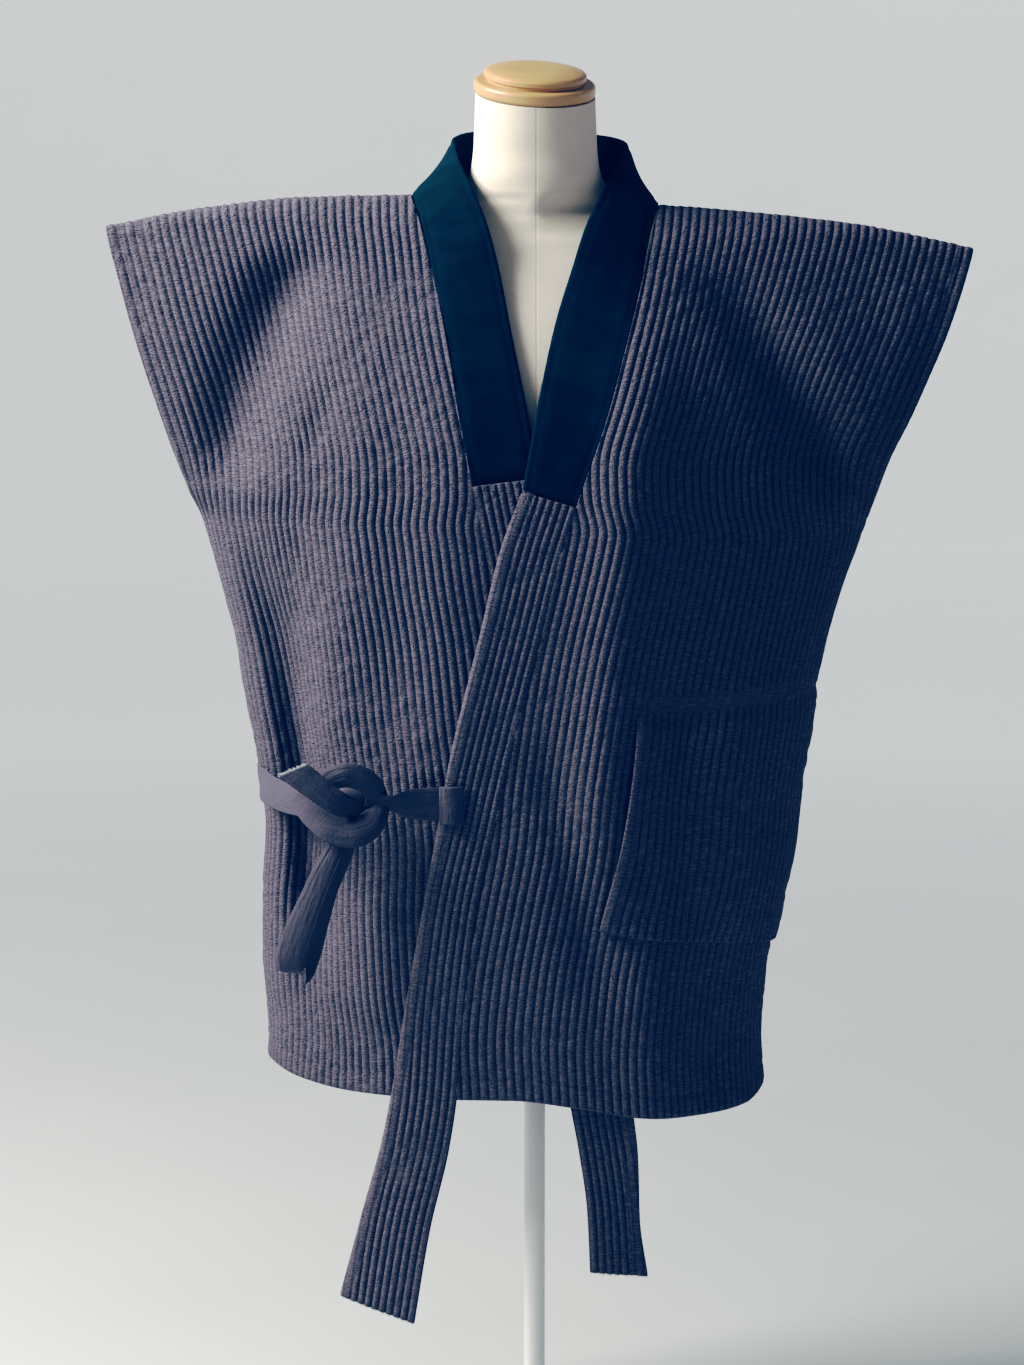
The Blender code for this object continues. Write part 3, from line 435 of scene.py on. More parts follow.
def shell(name, face, out, first, last, relief, thickness, uv, inner, finish, rolls):
    """Closes a fine grid of middle points into a piece of cloth.

    first and last give the columns where each row really starts and ends. rolls gives how far the
    rim is rounded outwards at the top, the end, the bottom and the start of the grid.
    """
    rows, columns = face.shape[:2]
    number = np.arange(rows * columns).reshape(rows, columns)
    across = np.arange(columns)[None, :]
    number = np.where(across <= first[:, None], number[:, :1], number)
    number = np.where(across >= last[:, None], number[:, -1:], number)
    outer = face + out * (thickness / 2 + relief)[:, :, None]
    faces = []
    for r in range(rows - 1):
        a, b = number[r], number[r + 1]
        for c in range(columns - 1):
            ring = [a[c], a[c + 1], b[c + 1], b[c]]
            ring = [x for k, x in enumerate(ring) if x != ring[k - 1]]
            if len(ring) > 2:
                faces.append([int(x) for x in ring])
    inner_rows, inner_columns = inner
    row_at = np.round(np.linspace(0, rows - 1, inner_rows)).astype(int)
    inside = np.zeros((inner_rows, inner_columns, 3))
    inside_uv = np.zeros((inner_rows, inner_columns, 2))
    across_at = np.zeros((inner_rows, inner_columns))
    for k, r in enumerate(row_at):
        span = uv[r, :, 0]
        at = np.linspace(span[0], span[-1], inner_columns)
        order = np.argsort(span, kind="stable")
        across_at[k] = at
        for axis in range(3):
            middle = np.interp(at, span[order], face[r, order, axis])
            inside[k, :, axis] = middle - np.interp(at, span[order], out[r, order, axis]) * thickness / 2
        inside_uv[k, :, 0] = at
        inside_uv[k, :, 1] = uv[r, :, 1].mean()
    base = rows * columns
    inner_number = base + np.arange(inner_rows * inner_columns).reshape(inner_rows, inner_columns)
    for r in range(inner_rows - 1):
        for c in range(inner_columns - 1):
            faces.append([int(x) for x in (inner_number[r, c], inner_number[r + 1, c],
                                           inner_number[r + 1, c + 1], inner_number[r, c + 1])])
    ring = []
    for r, c in outline_of(rows, columns):
        if ring and number[r, c] == ring[-1][0]:
            continue
        k = int(np.argmin(np.abs(row_at - r)))
        u = uv[r, c, 0]
        j = int(np.argmin(np.abs(across_at[k] - u)))
        if c == 0:
            j = 0
        if c == columns - 1:
            j = inner_columns - 1
        if r in (0, rows - 1):
            k = 0 if r == 0 else inner_rows - 1
        push = push_at(rolls, (r == 0, c == columns - 1, r == rows - 1, c == 0), face[r, c])
        ring.append((int(number[r, c]), int(inner_number[k, j]), r, c, k, j, push))
    if ring[0][0] == ring[-1][0]:
        ring.pop()
    rim_base = base + inner_rows * inner_columns
    rim = np.zeros((len(ring), 3))
    rim_uv = np.zeros((len(ring), 2))
    for n, (_, _, r, c, k, j, push) in enumerate(ring):
        inward = inside[np.clip(k, 1, inner_rows - 2), np.clip(j, 1, inner_columns - 2)]
        rim[n] = face[r, c] + unit(face[r, c] - inward) * push
        rim_uv[n] = uv[r, c]
    count = len(ring)
    for n in range(count):
        m = (n + 1) % count
        faces.append([ring[m][0], ring[n][0], rim_base + n, rim_base + m])
        low = [rim_base + m, rim_base + n, ring[n][1], ring[m][1]]
        faces.append(low if ring[n][1] != ring[m][1] else low[:3])
    points = np.concatenate([outer.reshape(-1, 3), inside.reshape(-1, 3), rim])
    cloth = np.concatenate([uv.reshape(-1, 2), inside_uv.reshape(-1, 2), rim_uv])
    used = np.unique(np.concatenate([np.asarray(f) for f in faces]))
    fresh = np.full(len(points), -1)
    fresh[used] = np.arange(len(used))
    faces = [fresh[f].tolist() for f in faces]
    return new_piece(name, points[used], faces, cloth[used], finish)


# %% [markdown]
# ## Materials
# The quilted cotton is a matt purplish grey, lighter in random worn patches. Its valleys are painted
# darker than its crests, as painted shade, and each valley carries a line of small stitches. The weave,
# finer puckers and stitches are bump, because they are smaller than the mesh can hold. Every pattern
# reads the piece's cloth coordinates in metres, so it turns and bends with the cloth.

# %% Node helpers
def linear(red, green, blue):
    """A colour given as it looks on screen, from 0 to 255, as the shader wants it."""
    share = np.array([red, green, blue]) / 255
    return (*np.where(share <= 0.04045, share / 12.92, ((share + 0.055) / 1.055) ** 2.4), 1.0)


def link_in(tree, socket, value):
    """Sets a socket to a value or links another node's output to it."""
    if isinstance(value, bpy.types.NodeSocket):
        tree.links.new(value, socket)
    else:
        socket.default_value = value


def add_node(tree, kind, values=(), **settings):
    """Adds a node, sets its properties and fills its inputs by name or place."""
    made = tree.nodes.new(kind)
    for key, value in settings.items():
        setattr(made, key, value)
    for key, value in dict(values).items():
        link_in(tree, made.inputs[key], value)
    return made


def maths(tree, operation, *values, clamp=False):
    made = add_node(tree, "ShaderNodeMath", enumerate(values), operation=operation)
    made.use_clamp = clamp
    return made.outputs[0]


def mix_colours(tree, share, one, other):
    made = tree.nodes.new("ShaderNodeMix")
    made.data_type = "RGBA"
    link_in(tree, made.inputs[0], share)
    link_in(tree, made.inputs[6], one)
    link_in(tree, made.inputs[7], other)
    return made.outputs[2]


def noise(tree, where, scale, detail=2.0, roughness=0.5):
    made = add_node(tree, "ShaderNodeTexNoise", {"Vector": where, "Scale": scale, "Detail": detail,
                                                 "Roughness": roughness})
    return made.outputs["Fac"]


def start_material(name, roughness):
    made = bpy.data.materials.new(name)
    made.use_nodes = True
    shader = made.node_tree.nodes["Principled BSDF"]
    shader.inputs["Roughness"].default_value = roughness
    return made, made.node_tree, shader


def bump(tree, height, distance, strength=1.0, over=None):
    values = {"Height": height, "Distance": distance, "Strength": strength}
    if over is not None:
        values["Normal"] = over
    return add_node(tree, "ShaderNodeBump", values).outputs["Normal"]


def stretched(tree, where, turn, scale):
    """The coordinates turned by an angle in degrees and scaled along each axis."""
    values = {"Vector": where, "Rotation": (0, 0, np.radians(turn)), "Scale": scale}
    return add_node(tree, "ShaderNodeMapping", values).outputs["Vector"]


def thin_line(tree, value, reach):
    """1 where a noise crosses its middle, and 0 beyond the reach: a crease that wanders."""
    off = maths(tree, "ABSOLUTE", maths(tree, "SUBTRACT", value, 0.5))
    return add_node(tree, "ShaderNodeMapRange", {"Value": off, "From Min": 0.0, "From Max": reach,
                                                 "To Min": 1.0, "To Max": 0.0},
                    interpolation_type="SMOOTHSTEP").outputs[0]


# %% Quilted cotton
COTTON = linear(79, 75, 83)
COTTON_WORN = linear(96, 91, 98)
# A dark tone: it darkens the plain tie cotton evenly, and in the quilted cotton it is the painted shade in the
# valleys.
COTTON_DARK_AND_PAINTED_SHADE = linear(28, 31, 44)
PLAIN_SHARE = 0.62


def cotton(name, pitch, channels=True):
    """The quilted cotton, or the same cotton plain where channels is False."""
    made, tree, shader = start_material(name, 0.93)
    cloth = add_node(tree, "ShaderNodeUVMap", uv_map="cloth").outputs[0]
    parts = add_node(tree, "ShaderNodeSeparateXYZ", {"Vector": cloth})
    across, along = parts.outputs[0], parts.outputs[1]
    fading = noise(tree, cloth, 9.0, 3.0)
    yarn = noise(tree, cloth, 1900.0, 1.0)
    worn = maths(tree, "MULTIPLY", maths(tree, "ADD", fading, yarn), 0.55, clamp=True)
    colour = mix_colours(tree, worn, COTTON, COTTON_WORN)
    weave = add_node(tree, "ShaderNodeTexWave", {"Vector": cloth, "Scale": 360.0, "Distortion": 1.2},
                     bands_direction="X").outputs["Fac"]
    weft = add_node(tree, "ShaderNodeTexWave", {"Vector": cloth, "Scale": 360.0, "Distortion": 1.2},
                    bands_direction="Y").outputs["Fac"]
    normal = bump(tree, maths(tree, "ADD", weave, maths(tree, "ADD", weft, yarn)), 0.00006)
    if channels:
        pulls = noise(tree, stretched(tree, cloth, 30, (60, 210, 1)), 1.0, 2.0, 0.6)
        cross = noise(tree, stretched(tree, cloth, -34, (60, 190, 1)), 1.0, 2.0, 0.6)
        creased = maths(tree, "ADD", thin_line(tree, pulls, 0.05), thin_line(tree, cross, 0.04))
        normal = bump(tree, maths(tree, "SUBTRACT", 1.0, creased), 0.0010, 0.9, normal)
        place = maths(tree, "FRACT", maths(tree, "DIVIDE", across, pitch))
        from_line = maths(tree, "MINIMUM", place, maths(tree, "SUBTRACT", 1.0, place))
        # Painted shade: the valley beside each stitched line is mixed toward the dark cotton colour.
        painted_valley_shade = add_node(tree, "ShaderNodeMapRange", {"Value": from_line, "From Min": 0.02, "From Max": 0.24,
                                                       "To Min": 1.0, "To Max": 0.0},
                          interpolation_type="SMOOTHSTEP").outputs[0]
        colour = mix_colours(tree, maths(tree, "MULTIPLY", painted_valley_shade, 0.45), colour, COTTON_DARK_AND_PAINTED_SHADE)
        step = maths(tree, "SINE", maths(tree, "MULTIPLY", along, 2 * np.pi / 0.0026))
        on_line = maths(tree, "LESS_THAN", from_line, 0.045)
        normal = bump(tree, maths(tree, "MULTIPLY", step, on_line), 0.0003, 1.0, normal)
    else:
        colour = mix_colours(tree, PLAIN_SHARE, COTTON_DARK_AND_PAINTED_SHADE, colour)
        long_folds = noise(tree, stretched(tree, cloth, 4, (330, 46, 1)), 1.0, 3.0, 0.6)
        short_folds = noise(tree, stretched(tree, cloth, -28, (150, 420, 1)), 1.0, 2.0, 0.6)
        rumpled = maths(tree, "ADD", long_folds, maths(tree, "MULTIPLY", short_folds, 0.45))
        normal = bump(tree, rumpled, 0.0016, 0.8, normal)
    tree.links.new(colour, shader.inputs["Base Color"])
    tree.links.new(normal, shader.inputs["Normal"])
    shader.inputs["Specular IOR Level"].default_value = 0.18
    shader.inputs["Sheen Weight"].default_value = 0.10
    shader.inputs["Sheen Roughness"].default_value = 0.50
    shader.inputs["Sheen Tint"].default_value = linear(190, 190, 214)
    return made


quilted_cotton = cotton("quilted_cotton", CHANNEL)
BAND_CHANNEL = 0.0069
band_cotton = cotton("band_cotton", BAND_CHANNEL)
tie_cotton = cotton("tie_cotton", CHANNEL, channels=False)
print("cotton made, lit colour", [round(c, 3) for c in COTTON_WORN[:3]])

# %% [markdown]
# The collar cover is a short, dense nap, nearly black with a cold cast. A nap has no weave to see: it
# drinks light, and only its edges catch a soft sheen, so the base is very dark and the sheen does the
# rest. Brushing leaves it a little uneven.

# %% Napped collar cloth, form cover, wood, paint and thread
def napped_cloth():
    made, tree, shader = start_material("napped_collar_cloth", 1.0)
    cloth = add_node(tree, "ShaderNodeUVMap", uv_map="cloth").outputs[0]
    brushed = noise(tree, stretched(tree, cloth, 8, (26, 60, 1)), 1.0, 4.0, 0.6)
    pile = noise(tree, cloth, 1500.0, 2.0)
    dark = linear(7, 20, 26)
    light = linear(20, 42, 48)
    tree.links.new(mix_colours(tree, brushed, dark, light), shader.inputs["Base Color"])
    tree.links.new(bump(tree, pile, 0.00025, 0.7), shader.inputs["Normal"])
    shader.inputs["Specular IOR Level"].default_value = 0.08
    shader.inputs["Sheen Weight"].default_value = 0.12
    shader.inputs["Sheen Roughness"].default_value = 0.40
    shader.inputs["Sheen Tint"].default_value = linear(120, 170, 190)
    return made


def form_cover():
    """Unbleached linen pulled tight, with a seam down the middle of the front and back."""
    made, tree, shader = start_material("form_cover", 0.9)
    where = add_node(tree, "ShaderNodeTexCoord").outputs["Object"]
    parts = add_node(tree, "ShaderNodeSeparateXYZ", {"Vector": where})
    slub = noise(tree, stretched(tree, where, 0, (900, 900, 120)), 1.0, 2.0)
    weft = noise(tree, stretched(tree, where, 0, (110, 110, 1000)), 1.0, 2.0)
    stain = noise(tree, where, 14.0, 3.0)
    colour = mix_colours(tree, maths(tree, "MULTIPLY", maths(tree, "ADD", slub, weft), 0.5),
                         linear(198, 190, 175), linear(218, 211, 199))
    colour = mix_colours(tree, maths(tree, "MULTIPLY", stain, 0.25), colour, linear(214, 198, 170))
    off_middle = maths(tree, "ABSOLUTE", maths(tree, "SUBTRACT", parts.outputs[0], 0.001))
    seam = add_node(tree, "ShaderNodeMapRange", {"Value": off_middle, "From Min": 0.0003, "From Max": 0.0014,
                                                 "To Min": 1.0, "To Max": 0.0}).outputs[0]
    colour = mix_colours(tree, maths(tree, "MULTIPLY", seam, 0.14), colour, linear(170, 156, 136))
    tree.links.new(colour, shader.inputs["Base Color"])
    normal = bump(tree, maths(tree, "ADD", slub, weft), 0.0002, 0.7)
    tree.links.new(bump(tree, maths(tree, "SUBTRACT", 1.0, seam), 0.0002, 1.0, normal), shader.inputs["Normal"])
    shader.inputs["Specular IOR Level"].default_value = 0.2
    return made


def turned_wood():
    """Pale wood under a thin varnish, with its grain along x."""
    made, tree, shader = start_material("turned_wood", 0.42)
    where = add_node(tree, "ShaderNodeTexCoord").outputs["Object"]
    grain = noise(tree, stretched(tree, where, 6, (14, 190, 190)), 1.0, 4.0, 0.55)
    pores = noise(tree, stretched(tree, where, 6, (90, 1300, 1300)), 1.0, 1.0)
    figure = noise(tree, stretched(tree, where, 0, (10, 50, 50)), 1.0, 2.0)
    colour = mix_colours(tree, grain, linear(168, 130, 80), linear(196, 160, 110))
    colour = mix_colours(tree, maths(tree, "MULTIPLY", figure, 0.4), colour, linear(178, 140, 92))
    tree.links.new(colour, shader.inputs["Base Color"])
    tree.links.new(bump(tree, pores, 0.00012, 0.5), shader.inputs["Normal"])
    shader.inputs["Coat Weight"].default_value = 0.25
    shader.inputs["Coat Roughness"].default_value = 0.25
    return made


def stand_paint():
    made, tree, shader = start_material("stand_paint", 0.38)
    where = add_node(tree, "ShaderNodeTexCoord").outputs["Object"]
    dust = noise(tree, where, 30.0, 3.0)
    tree.links.new(mix_colours(tree, dust, linear(214, 215, 213), linear(226, 227, 225)),
                   shader.inputs["Base Color"])
    tree.links.new(bump(tree, noise(tree, where, 700.0), 0.0001, 0.3), shader.inputs["Normal"])
    return made


def thread(name, colour, roughness=0.6):
    made, tree, shader = start_material(name, roughness)
    where = add_node(tree, "ShaderNodeTexCoord").outputs["Object"]
    ply = noise(tree, where, 2500.0)
    dark = tuple(0.6 * c for c in colour[:3]) + (1.0,)
    tree.links.new(mix_colours(tree, ply, dark, colour), shader.inputs["Base Color"])
    return made


collar_cloth = napped_cloth()
cover = form_cover()
wood = turned_wood()
paint = stand_paint()
dark_thread = thread("dark_thread", linear(74, 72, 92))
raw_thread = thread("raw_thread", linear(196, 202, 206), 0.9)
print("materials:", [m.name for m in bpy.data.materials])

# %% [markdown]
# ## The two fronts and the back
# Each panel hangs from the shoulder fold to the hem. Its rows are level shares of that length, closer
# together at the shoulder where the cloth rolls over, and its columns lie on the channels. On the
# fronts the channels are counted from the armhole and side seam, which they run beside. The back is
# one piece, so its channels are counted from its middle.

# %% Rows of a panel
FINE_ROWS = 290


def row_shares(count):
    """Shares of a panel's length, with closer rows near the shoulder."""
    even = np.linspace(0, 1, count)
    return 0.35 * even**2 + 0.65 * even


def side_x(side, z_of):
    x = side * 0.3
    for _ in range(10):
        x = side * float(half_width(np.array(side), shoulder_z(x) - z_of(x)))
    return x


def seam_x(table, gap, z_of):
    x = float(column(table, "x")[-1])
    for _ in range(10):
        x = float(read(table, "z", "x", z_of(x))) + gap
    return x


def outward(y_of, x, z, front, side):
    """The direction out of the cloth, from how its depth changes inwards and downwards."""
    step = 0.0005
    toward = np.where(np.asarray(x) > side, 1.0, -1.0) * step
    here = y_of(x, z)
    slope_x = (here - y_of(x - toward, z)) / toward
    slope_z = (here - y_of(x, z - step)) / step
    facing = -1.0 if front else 1.0
    return unit(np.stack([-slope_x * facing, np.full_like(here, facing), -slope_z * facing], axis=-1))


def panel_lines(y_of, start, end, top, front, shares):
    """Dense points and outward directions along each row, and the same rows with no folds in them."""
    turn = (1 - np.cos(np.linspace(0, np.pi, 321))) / 2
    points = []
    normals = []
    unfolded = []
    for share in shares:
        def z_of(x, share=share):
            high = top(x)
            return high + (read(HEM, "x", "z", x) - high) * share

        low = start(z_of)
        high = end(z_of)
        x = low + (high - low) * turn
        z = z_of(x)
        points.append(np.stack([x, y_of(x, z), z], axis=1))
        normals.append(outward(y_of, x, z, front, 0.0))
        unfolded.append(np.stack([x, depth_at(x, z, "front" if front else "back", NO_FOLDS), z], axis=1))
    return np.array(points), np.array(normals), np.array(unfolded)


def row_lengths(points):
    """The distance along each row from its first point."""
    gaps = np.linalg.norm(np.diff(points, axis=1), axis=2)
    return np.concatenate([np.zeros((len(points), 1)), np.cumsum(gaps, axis=1)], axis=1)


def smooth_down(values, reach):
    """Softens each column of values from row to row, so that a line bends gently."""
    offsets = np.arange(-3 * reach, 3 * reach + 1)
    weights = np.exp(-0.5 * (offsets / reach) ** 2)
    padded = np.pad(values, ((3 * reach, 3 * reach), (0, 0)), mode="reflect", reflect_type="odd")
    rows = [padded[3 * reach + k: 3 * reach + k + len(values)] for k in offsets]
    return sum(w * row for w, row in zip(weights, rows)) / weights.sum()


def cut_on_channels(points, normals, per_channel, middle=None, pitch=CHANNEL, soften=8, unfolded=None):
    """Reads dense rows at columns that lie on the channels, and holds them at the ends of each row.

    The lines are softened from row to row by their distance along the unfolded rows, which stays even
    where a panel turns round the side. A piece with no unfolded rows is flat enough to take x instead.
    Gives the points, the outward directions, the distance along each row, the channel coordinate
    and the first and last column of each row.
    """
    rows = len(points)
    along = row_lengths(points)
    if unfolded is None:
        level = points[:, :, 0] * np.sign(points[:, -1, 0] - points[:, 0, 0])[:, None]
    else:
        level = row_lengths(unfolded)
    if middle is not None:
        along = along - np.array([np.interp(middle, points[r, :, 0], along[r]) for r in range(rows)])[:, None]
        level = level - np.array([np.interp(middle, points[r, :, 0], level[r]) for r in range(rows)])[:, None]
    step = pitch / per_channel
    spare = 3 * per_channel
    low = int(np.floor(along[:, 0].min() / step)) - spare
    high = int(np.ceil(along[:, -1].max() / step)) + spare
    lines = np.arange(low, high + 1) * step
    under = np.minimum(lines[None, :] - along[:, :1], 0)
    over = np.maximum(lines[None, :] - along[:, -1:], 0)
    places = np.array([np.interp(lines, along[r], level[r]) for r in range(rows)]) + under + over
    places = smooth_down(places, soften)
    u = np.array([np.interp(places[r], level[r], along[r]) for r in range(rows)])
    first = np.array([np.searchsorted(u[r], along[r, 0] + step * 0.2) - 1 for r in range(rows)])
    last = np.array([np.searchsorted(u[r], along[r, -1] - step * 0.2) for r in range(rows)])
    first = np.maximum(first, 0)
    last = np.minimum(last, len(lines) - 1)
    channel = np.repeat(lines[None, :], rows, axis=0)
    for r in range(rows):
        before = (level[r, 0] - places[r, first[r]]) / (places[r, first[r] + 1] - places[r, first[r]])
        after = (level[r, -1] - places[r, last[r] - 1]) / (places[r, last[r]] - places[r, last[r] - 1])
        channel[r, : first[r] + 1] = lines[first[r]] + step * np.clip(before, 0, 1)
        channel[r, last[r]:] = lines[last[r] - 1] + step * np.clip(after, 0, 1)
        u[r, : first[r] + 1] = along[r, 0]
        u[r, last[r]:] = along[r, -1]
    least = first.min()
    most = last.max() + 1
    u, channel = u[:, least:most], channel[:, least:most]
    face = np.zeros((*u.shape, 3))
    out = np.zeros((*u.shape, 3))
    for r in range(rows):
        for axis in range(3):
            face[r, :, axis] = np.interp(u[r], along[r], points[r, :, axis])
            out[r, :, axis] = np.interp(u[r], along[r], normals[r, :, axis])
    return face, unit(out), u, channel, first - least, last - least


# %% Relief of a panel with its hems
ARMHOLE_DROP = 0.275
STITCHED_HEM = 0.018
ARMHOLE_HEM = 1.5 * CHANNEL
EDGE_ROLL = 0.0013
SEAM_ROLL = 0.00045


def dip(distance, width):
    return np.exp(-((distance / width) ** 2))


def stitched_row(face):
    """The row of the grid on which the lower hem is stitched."""
    return int(np.argmin(np.abs((face[:, :, 2] - face[-1:, :, 2]).mean(axis=1) - STITCHED_HEM)))


def panel_relief(face, channel, seed, from_start, from_end=None):
    """Quilting, flattened by the stitched hems of the armhole and the lower edge."""
    relief = quilting(channel, -face[:, :, 2], seed)
    drop = shoulder_z(face[:, :, 0]) - face[:, :, 2]
    above = 1 - ramp(ARMHOLE_DROP - 0.03, ARMHOLE_DROP, drop)
    rim = 1 - ramp(0.0, 0.0030, from_start)
    groove = dip(from_start - ARMHOLE_HEM, 0.0011) * above
    if from_end is not None:
        rim = np.maximum(rim, 1 - ramp(0.0, 0.0030, from_end))
        groove = np.maximum(groove, dip(from_end - ARMHOLE_HEM, 0.0011) * above)
    from_hem = face[:, :, 2] - face[-1:, :, 2]
    hem_row = stitched_row(face)
    groove = np.maximum(groove, dip(from_hem - from_hem[hem_row], 0.0014))
    rim = np.maximum(rim, 1 - ramp(0.0, 0.0035, from_hem))
    return relief * (1 - 0.75 * rim) - 0.0009 * groove * (1 - rim)


def open_edge(point):
    """The side is a free, rolled edge only at the armhole. Below it is sewn to its neighbour."""
    drop = float(shoulder_z(point[0]) - point[2])
    return EDGE_ROLL * float(1 - ramp(ARMHOLE_DROP - 0.02, ARMHOLE_DROP, drop))


# %% Make the fronts and the back
SEWN_IN = 0.0010
stitch_lines = []


def hold_line(points, lift=0.0):
    """Keeps a line of points for the stitches that are made at the end."""
    stitch_lines.append(np.asarray(points, float) + lift)


def surface(face, out, relief, thickness):
    return face + out * (thickness / 2 + relief)[:, :, None]


def armhole_line(outer, columns, shift):
    """Points along the stitched hem of an armhole, from the shoulder down to where it closes."""
    line = outer[np.arange(len(outer)), columns + shift]
    drop = shoulder_z(line[:, 0]) - line[:, 2]
    return line[(drop < ARMHOLE_DROP - 0.012) & (drop > 0.004)]


def front_panel(name, y_of, side, seam, gap, seed):
    """A quilted front, counted from its armhole and side seam to its band seam."""
    points, normals, unfolded = panel_lines(y_of, lambda z_of: side_x(side, z_of),
                                            lambda z_of: seam_x(seam, gap, z_of),
                                            shoulder_z, True, row_shares(FINE_ROWS))
    face, out, u, channel, first, last = cut_on_channels(points, normals, 6, soften=24, unfolded=unfolded)
    relief = panel_relief(face, channel, seed, u)
    uv = np.stack([channel, -face[:, :, 2]], axis=2)
    rolls = (SEAM_ROLL, SEAM_ROLL, EDGE_ROLL, open_edge)
    piece = shell(name, face, out, first, last, relief, QUILT, uv, (60, 26), quilted_cotton, rolls)
    outer = surface(face, out, relief, QUILT)
    hold_line(armhole_line(outer, first, 9))
    row = stitched_row(face)
    hold_line(outer[row, 2: last[row] - 2])
    return piece


front_under = front_panel("front_under_cloth", front_y, -1, UNDER_SEAM, SEWN_IN, 11)
front_over = front_panel("front_over_cloth", over_y, 1, OVER_SEAM, -SEWN_IN, 23)


def back_top(x):
    inside = np.abs(x) < column(NAPE, "x")[-1]
    return np.where(inside, read(NAPE, "x", "z", x), shoulder_z(x))


def back_panel():
    points, normals, unfolded = panel_lines(back_y, lambda z_of: side_x(-1, z_of),
                                            lambda z_of: side_x(1, z_of),
                                            back_top, False, row_shares(BACK_ROWS))
    face, out, u, channel, first, last = cut_on_channels(points, normals, 4, middle=0.0, unfolded=unfolded)
    relief = panel_relief(face, channel, 37, u - u[:, :1], u[:, -1:] - u)
    uv = np.stack([channel, -face[:, :, 2]], axis=2)
    rolls = (SEAM_ROLL, open_edge, EDGE_ROLL, open_edge)
    piece = shell("back_cloth", face, out, first, last, relief, QUILT, uv, (56, 44), quilted_cotton, rolls)
    outer = surface(face, out, relief, QUILT)
    hold_line(armhole_line(outer, first, 6))
    hold_line(armhole_line(outer, last, -6))
    row = stitched_row(face)
    hold_line(outer[row, first[row] + 2: last[row] - 1])
    return piece


BACK_ROWS = 205
back = back_panel()

# %% [markdown]
# ## Bands, collar and pocket
# A band runs down the edge of each front and ends in a free tail. Its channels run along it, and its
# free edge is a plain roll about 9 mm wide. The collar cover is a plain strip: it stands round the
# neck and lies down on the fronts, and its nap hides every stitch. The pocket is cut from the same
# quilting as the front it lies on, so it takes the front's own surface, moved out. Its opening edge
# is rolled and stands a little proud, and its top is pressed into the seam and hardly shows.

# %% Bands
BAND_ROWS = 230
BAND_PLAIN = 0.0095


def band_lines(table, seam, y_of, gap):
    """Dense points across a band, from its seam to its free edge, for every row along it."""
    along = np.linspace(0, 1, len(table) - 1)
    spread = (("at",) + table[0],) + tuple((s,) + row for s, row in zip(along, table[1:]))
    at = np.linspace(0, 1, BAND_ROWS)
    seam_z, free_x, free_z = (read(spread, "at", key, at) for key in table[0])
    from_x = read(seam, "z", "x", seam_z) + gap
    across = np.linspace(0, 1, 60)
    x = from_x[:, None] + (free_x - from_x)[:, None] * across
    z = seam_z[:, None] + (free_z - seam_z)[:, None] * across
    points = np.stack([x, y_of(x, z), z], axis=2)
    return points, outward(y_of, x, z, True, 0.0)


def band_piece(name, table, seam, y_of, gap, seed):
    points, normals = band_lines(table, seam, y_of, gap)
    face, out, u, channel, first, last = cut_on_channels(points, normals, 6, pitch=BAND_CHANNEL, soften=2)
    step = np.linalg.norm(np.diff(face[:, 0], axis=0), axis=1)
    v = np.concatenate([[0], np.cumsum(step)])[:, None] + 0 * u
    width = u[:, -1:]
    plain = ramp(-0.0010, 0.0006, u - (width - BAND_PLAIN))
    roll = 0.0013 * np.sqrt(np.clip(1 - ((u - width + BAND_PLAIN / 2) / (BAND_PLAIN / 2)) ** 2, 0, 1)) - 0.0004
    worn = 0.0003 * soft_noise(u / 0.004, v / 0.011, seed + 4)
    relief = quilting(channel, v, seed, BAND_CHANNEL) * (1 - plain) + (roll + worn) * plain
    relief = relief * ramp(-0.001, 0.004, u)
    uv = np.stack([channel, v], axis=2)
    rolls = (SEAM_ROLL, BAND * 0.42, 0.0004, SEAM_ROLL)
    return shell(name, face, out, first, last, relief, BAND, uv, (90, 6), band_cotton, rolls), surface(
        face, out, relief, BAND)


band_under, under_outer = band_piece("band_under_cloth", UNDER_BAND, UNDER_SEAM, front_y, SEAM / 2, 41)
band_over, over_outer = band_piece("band_over_cloth", OVER_BAND, OVER_SEAM, over_y, -SEAM / 2, 53)

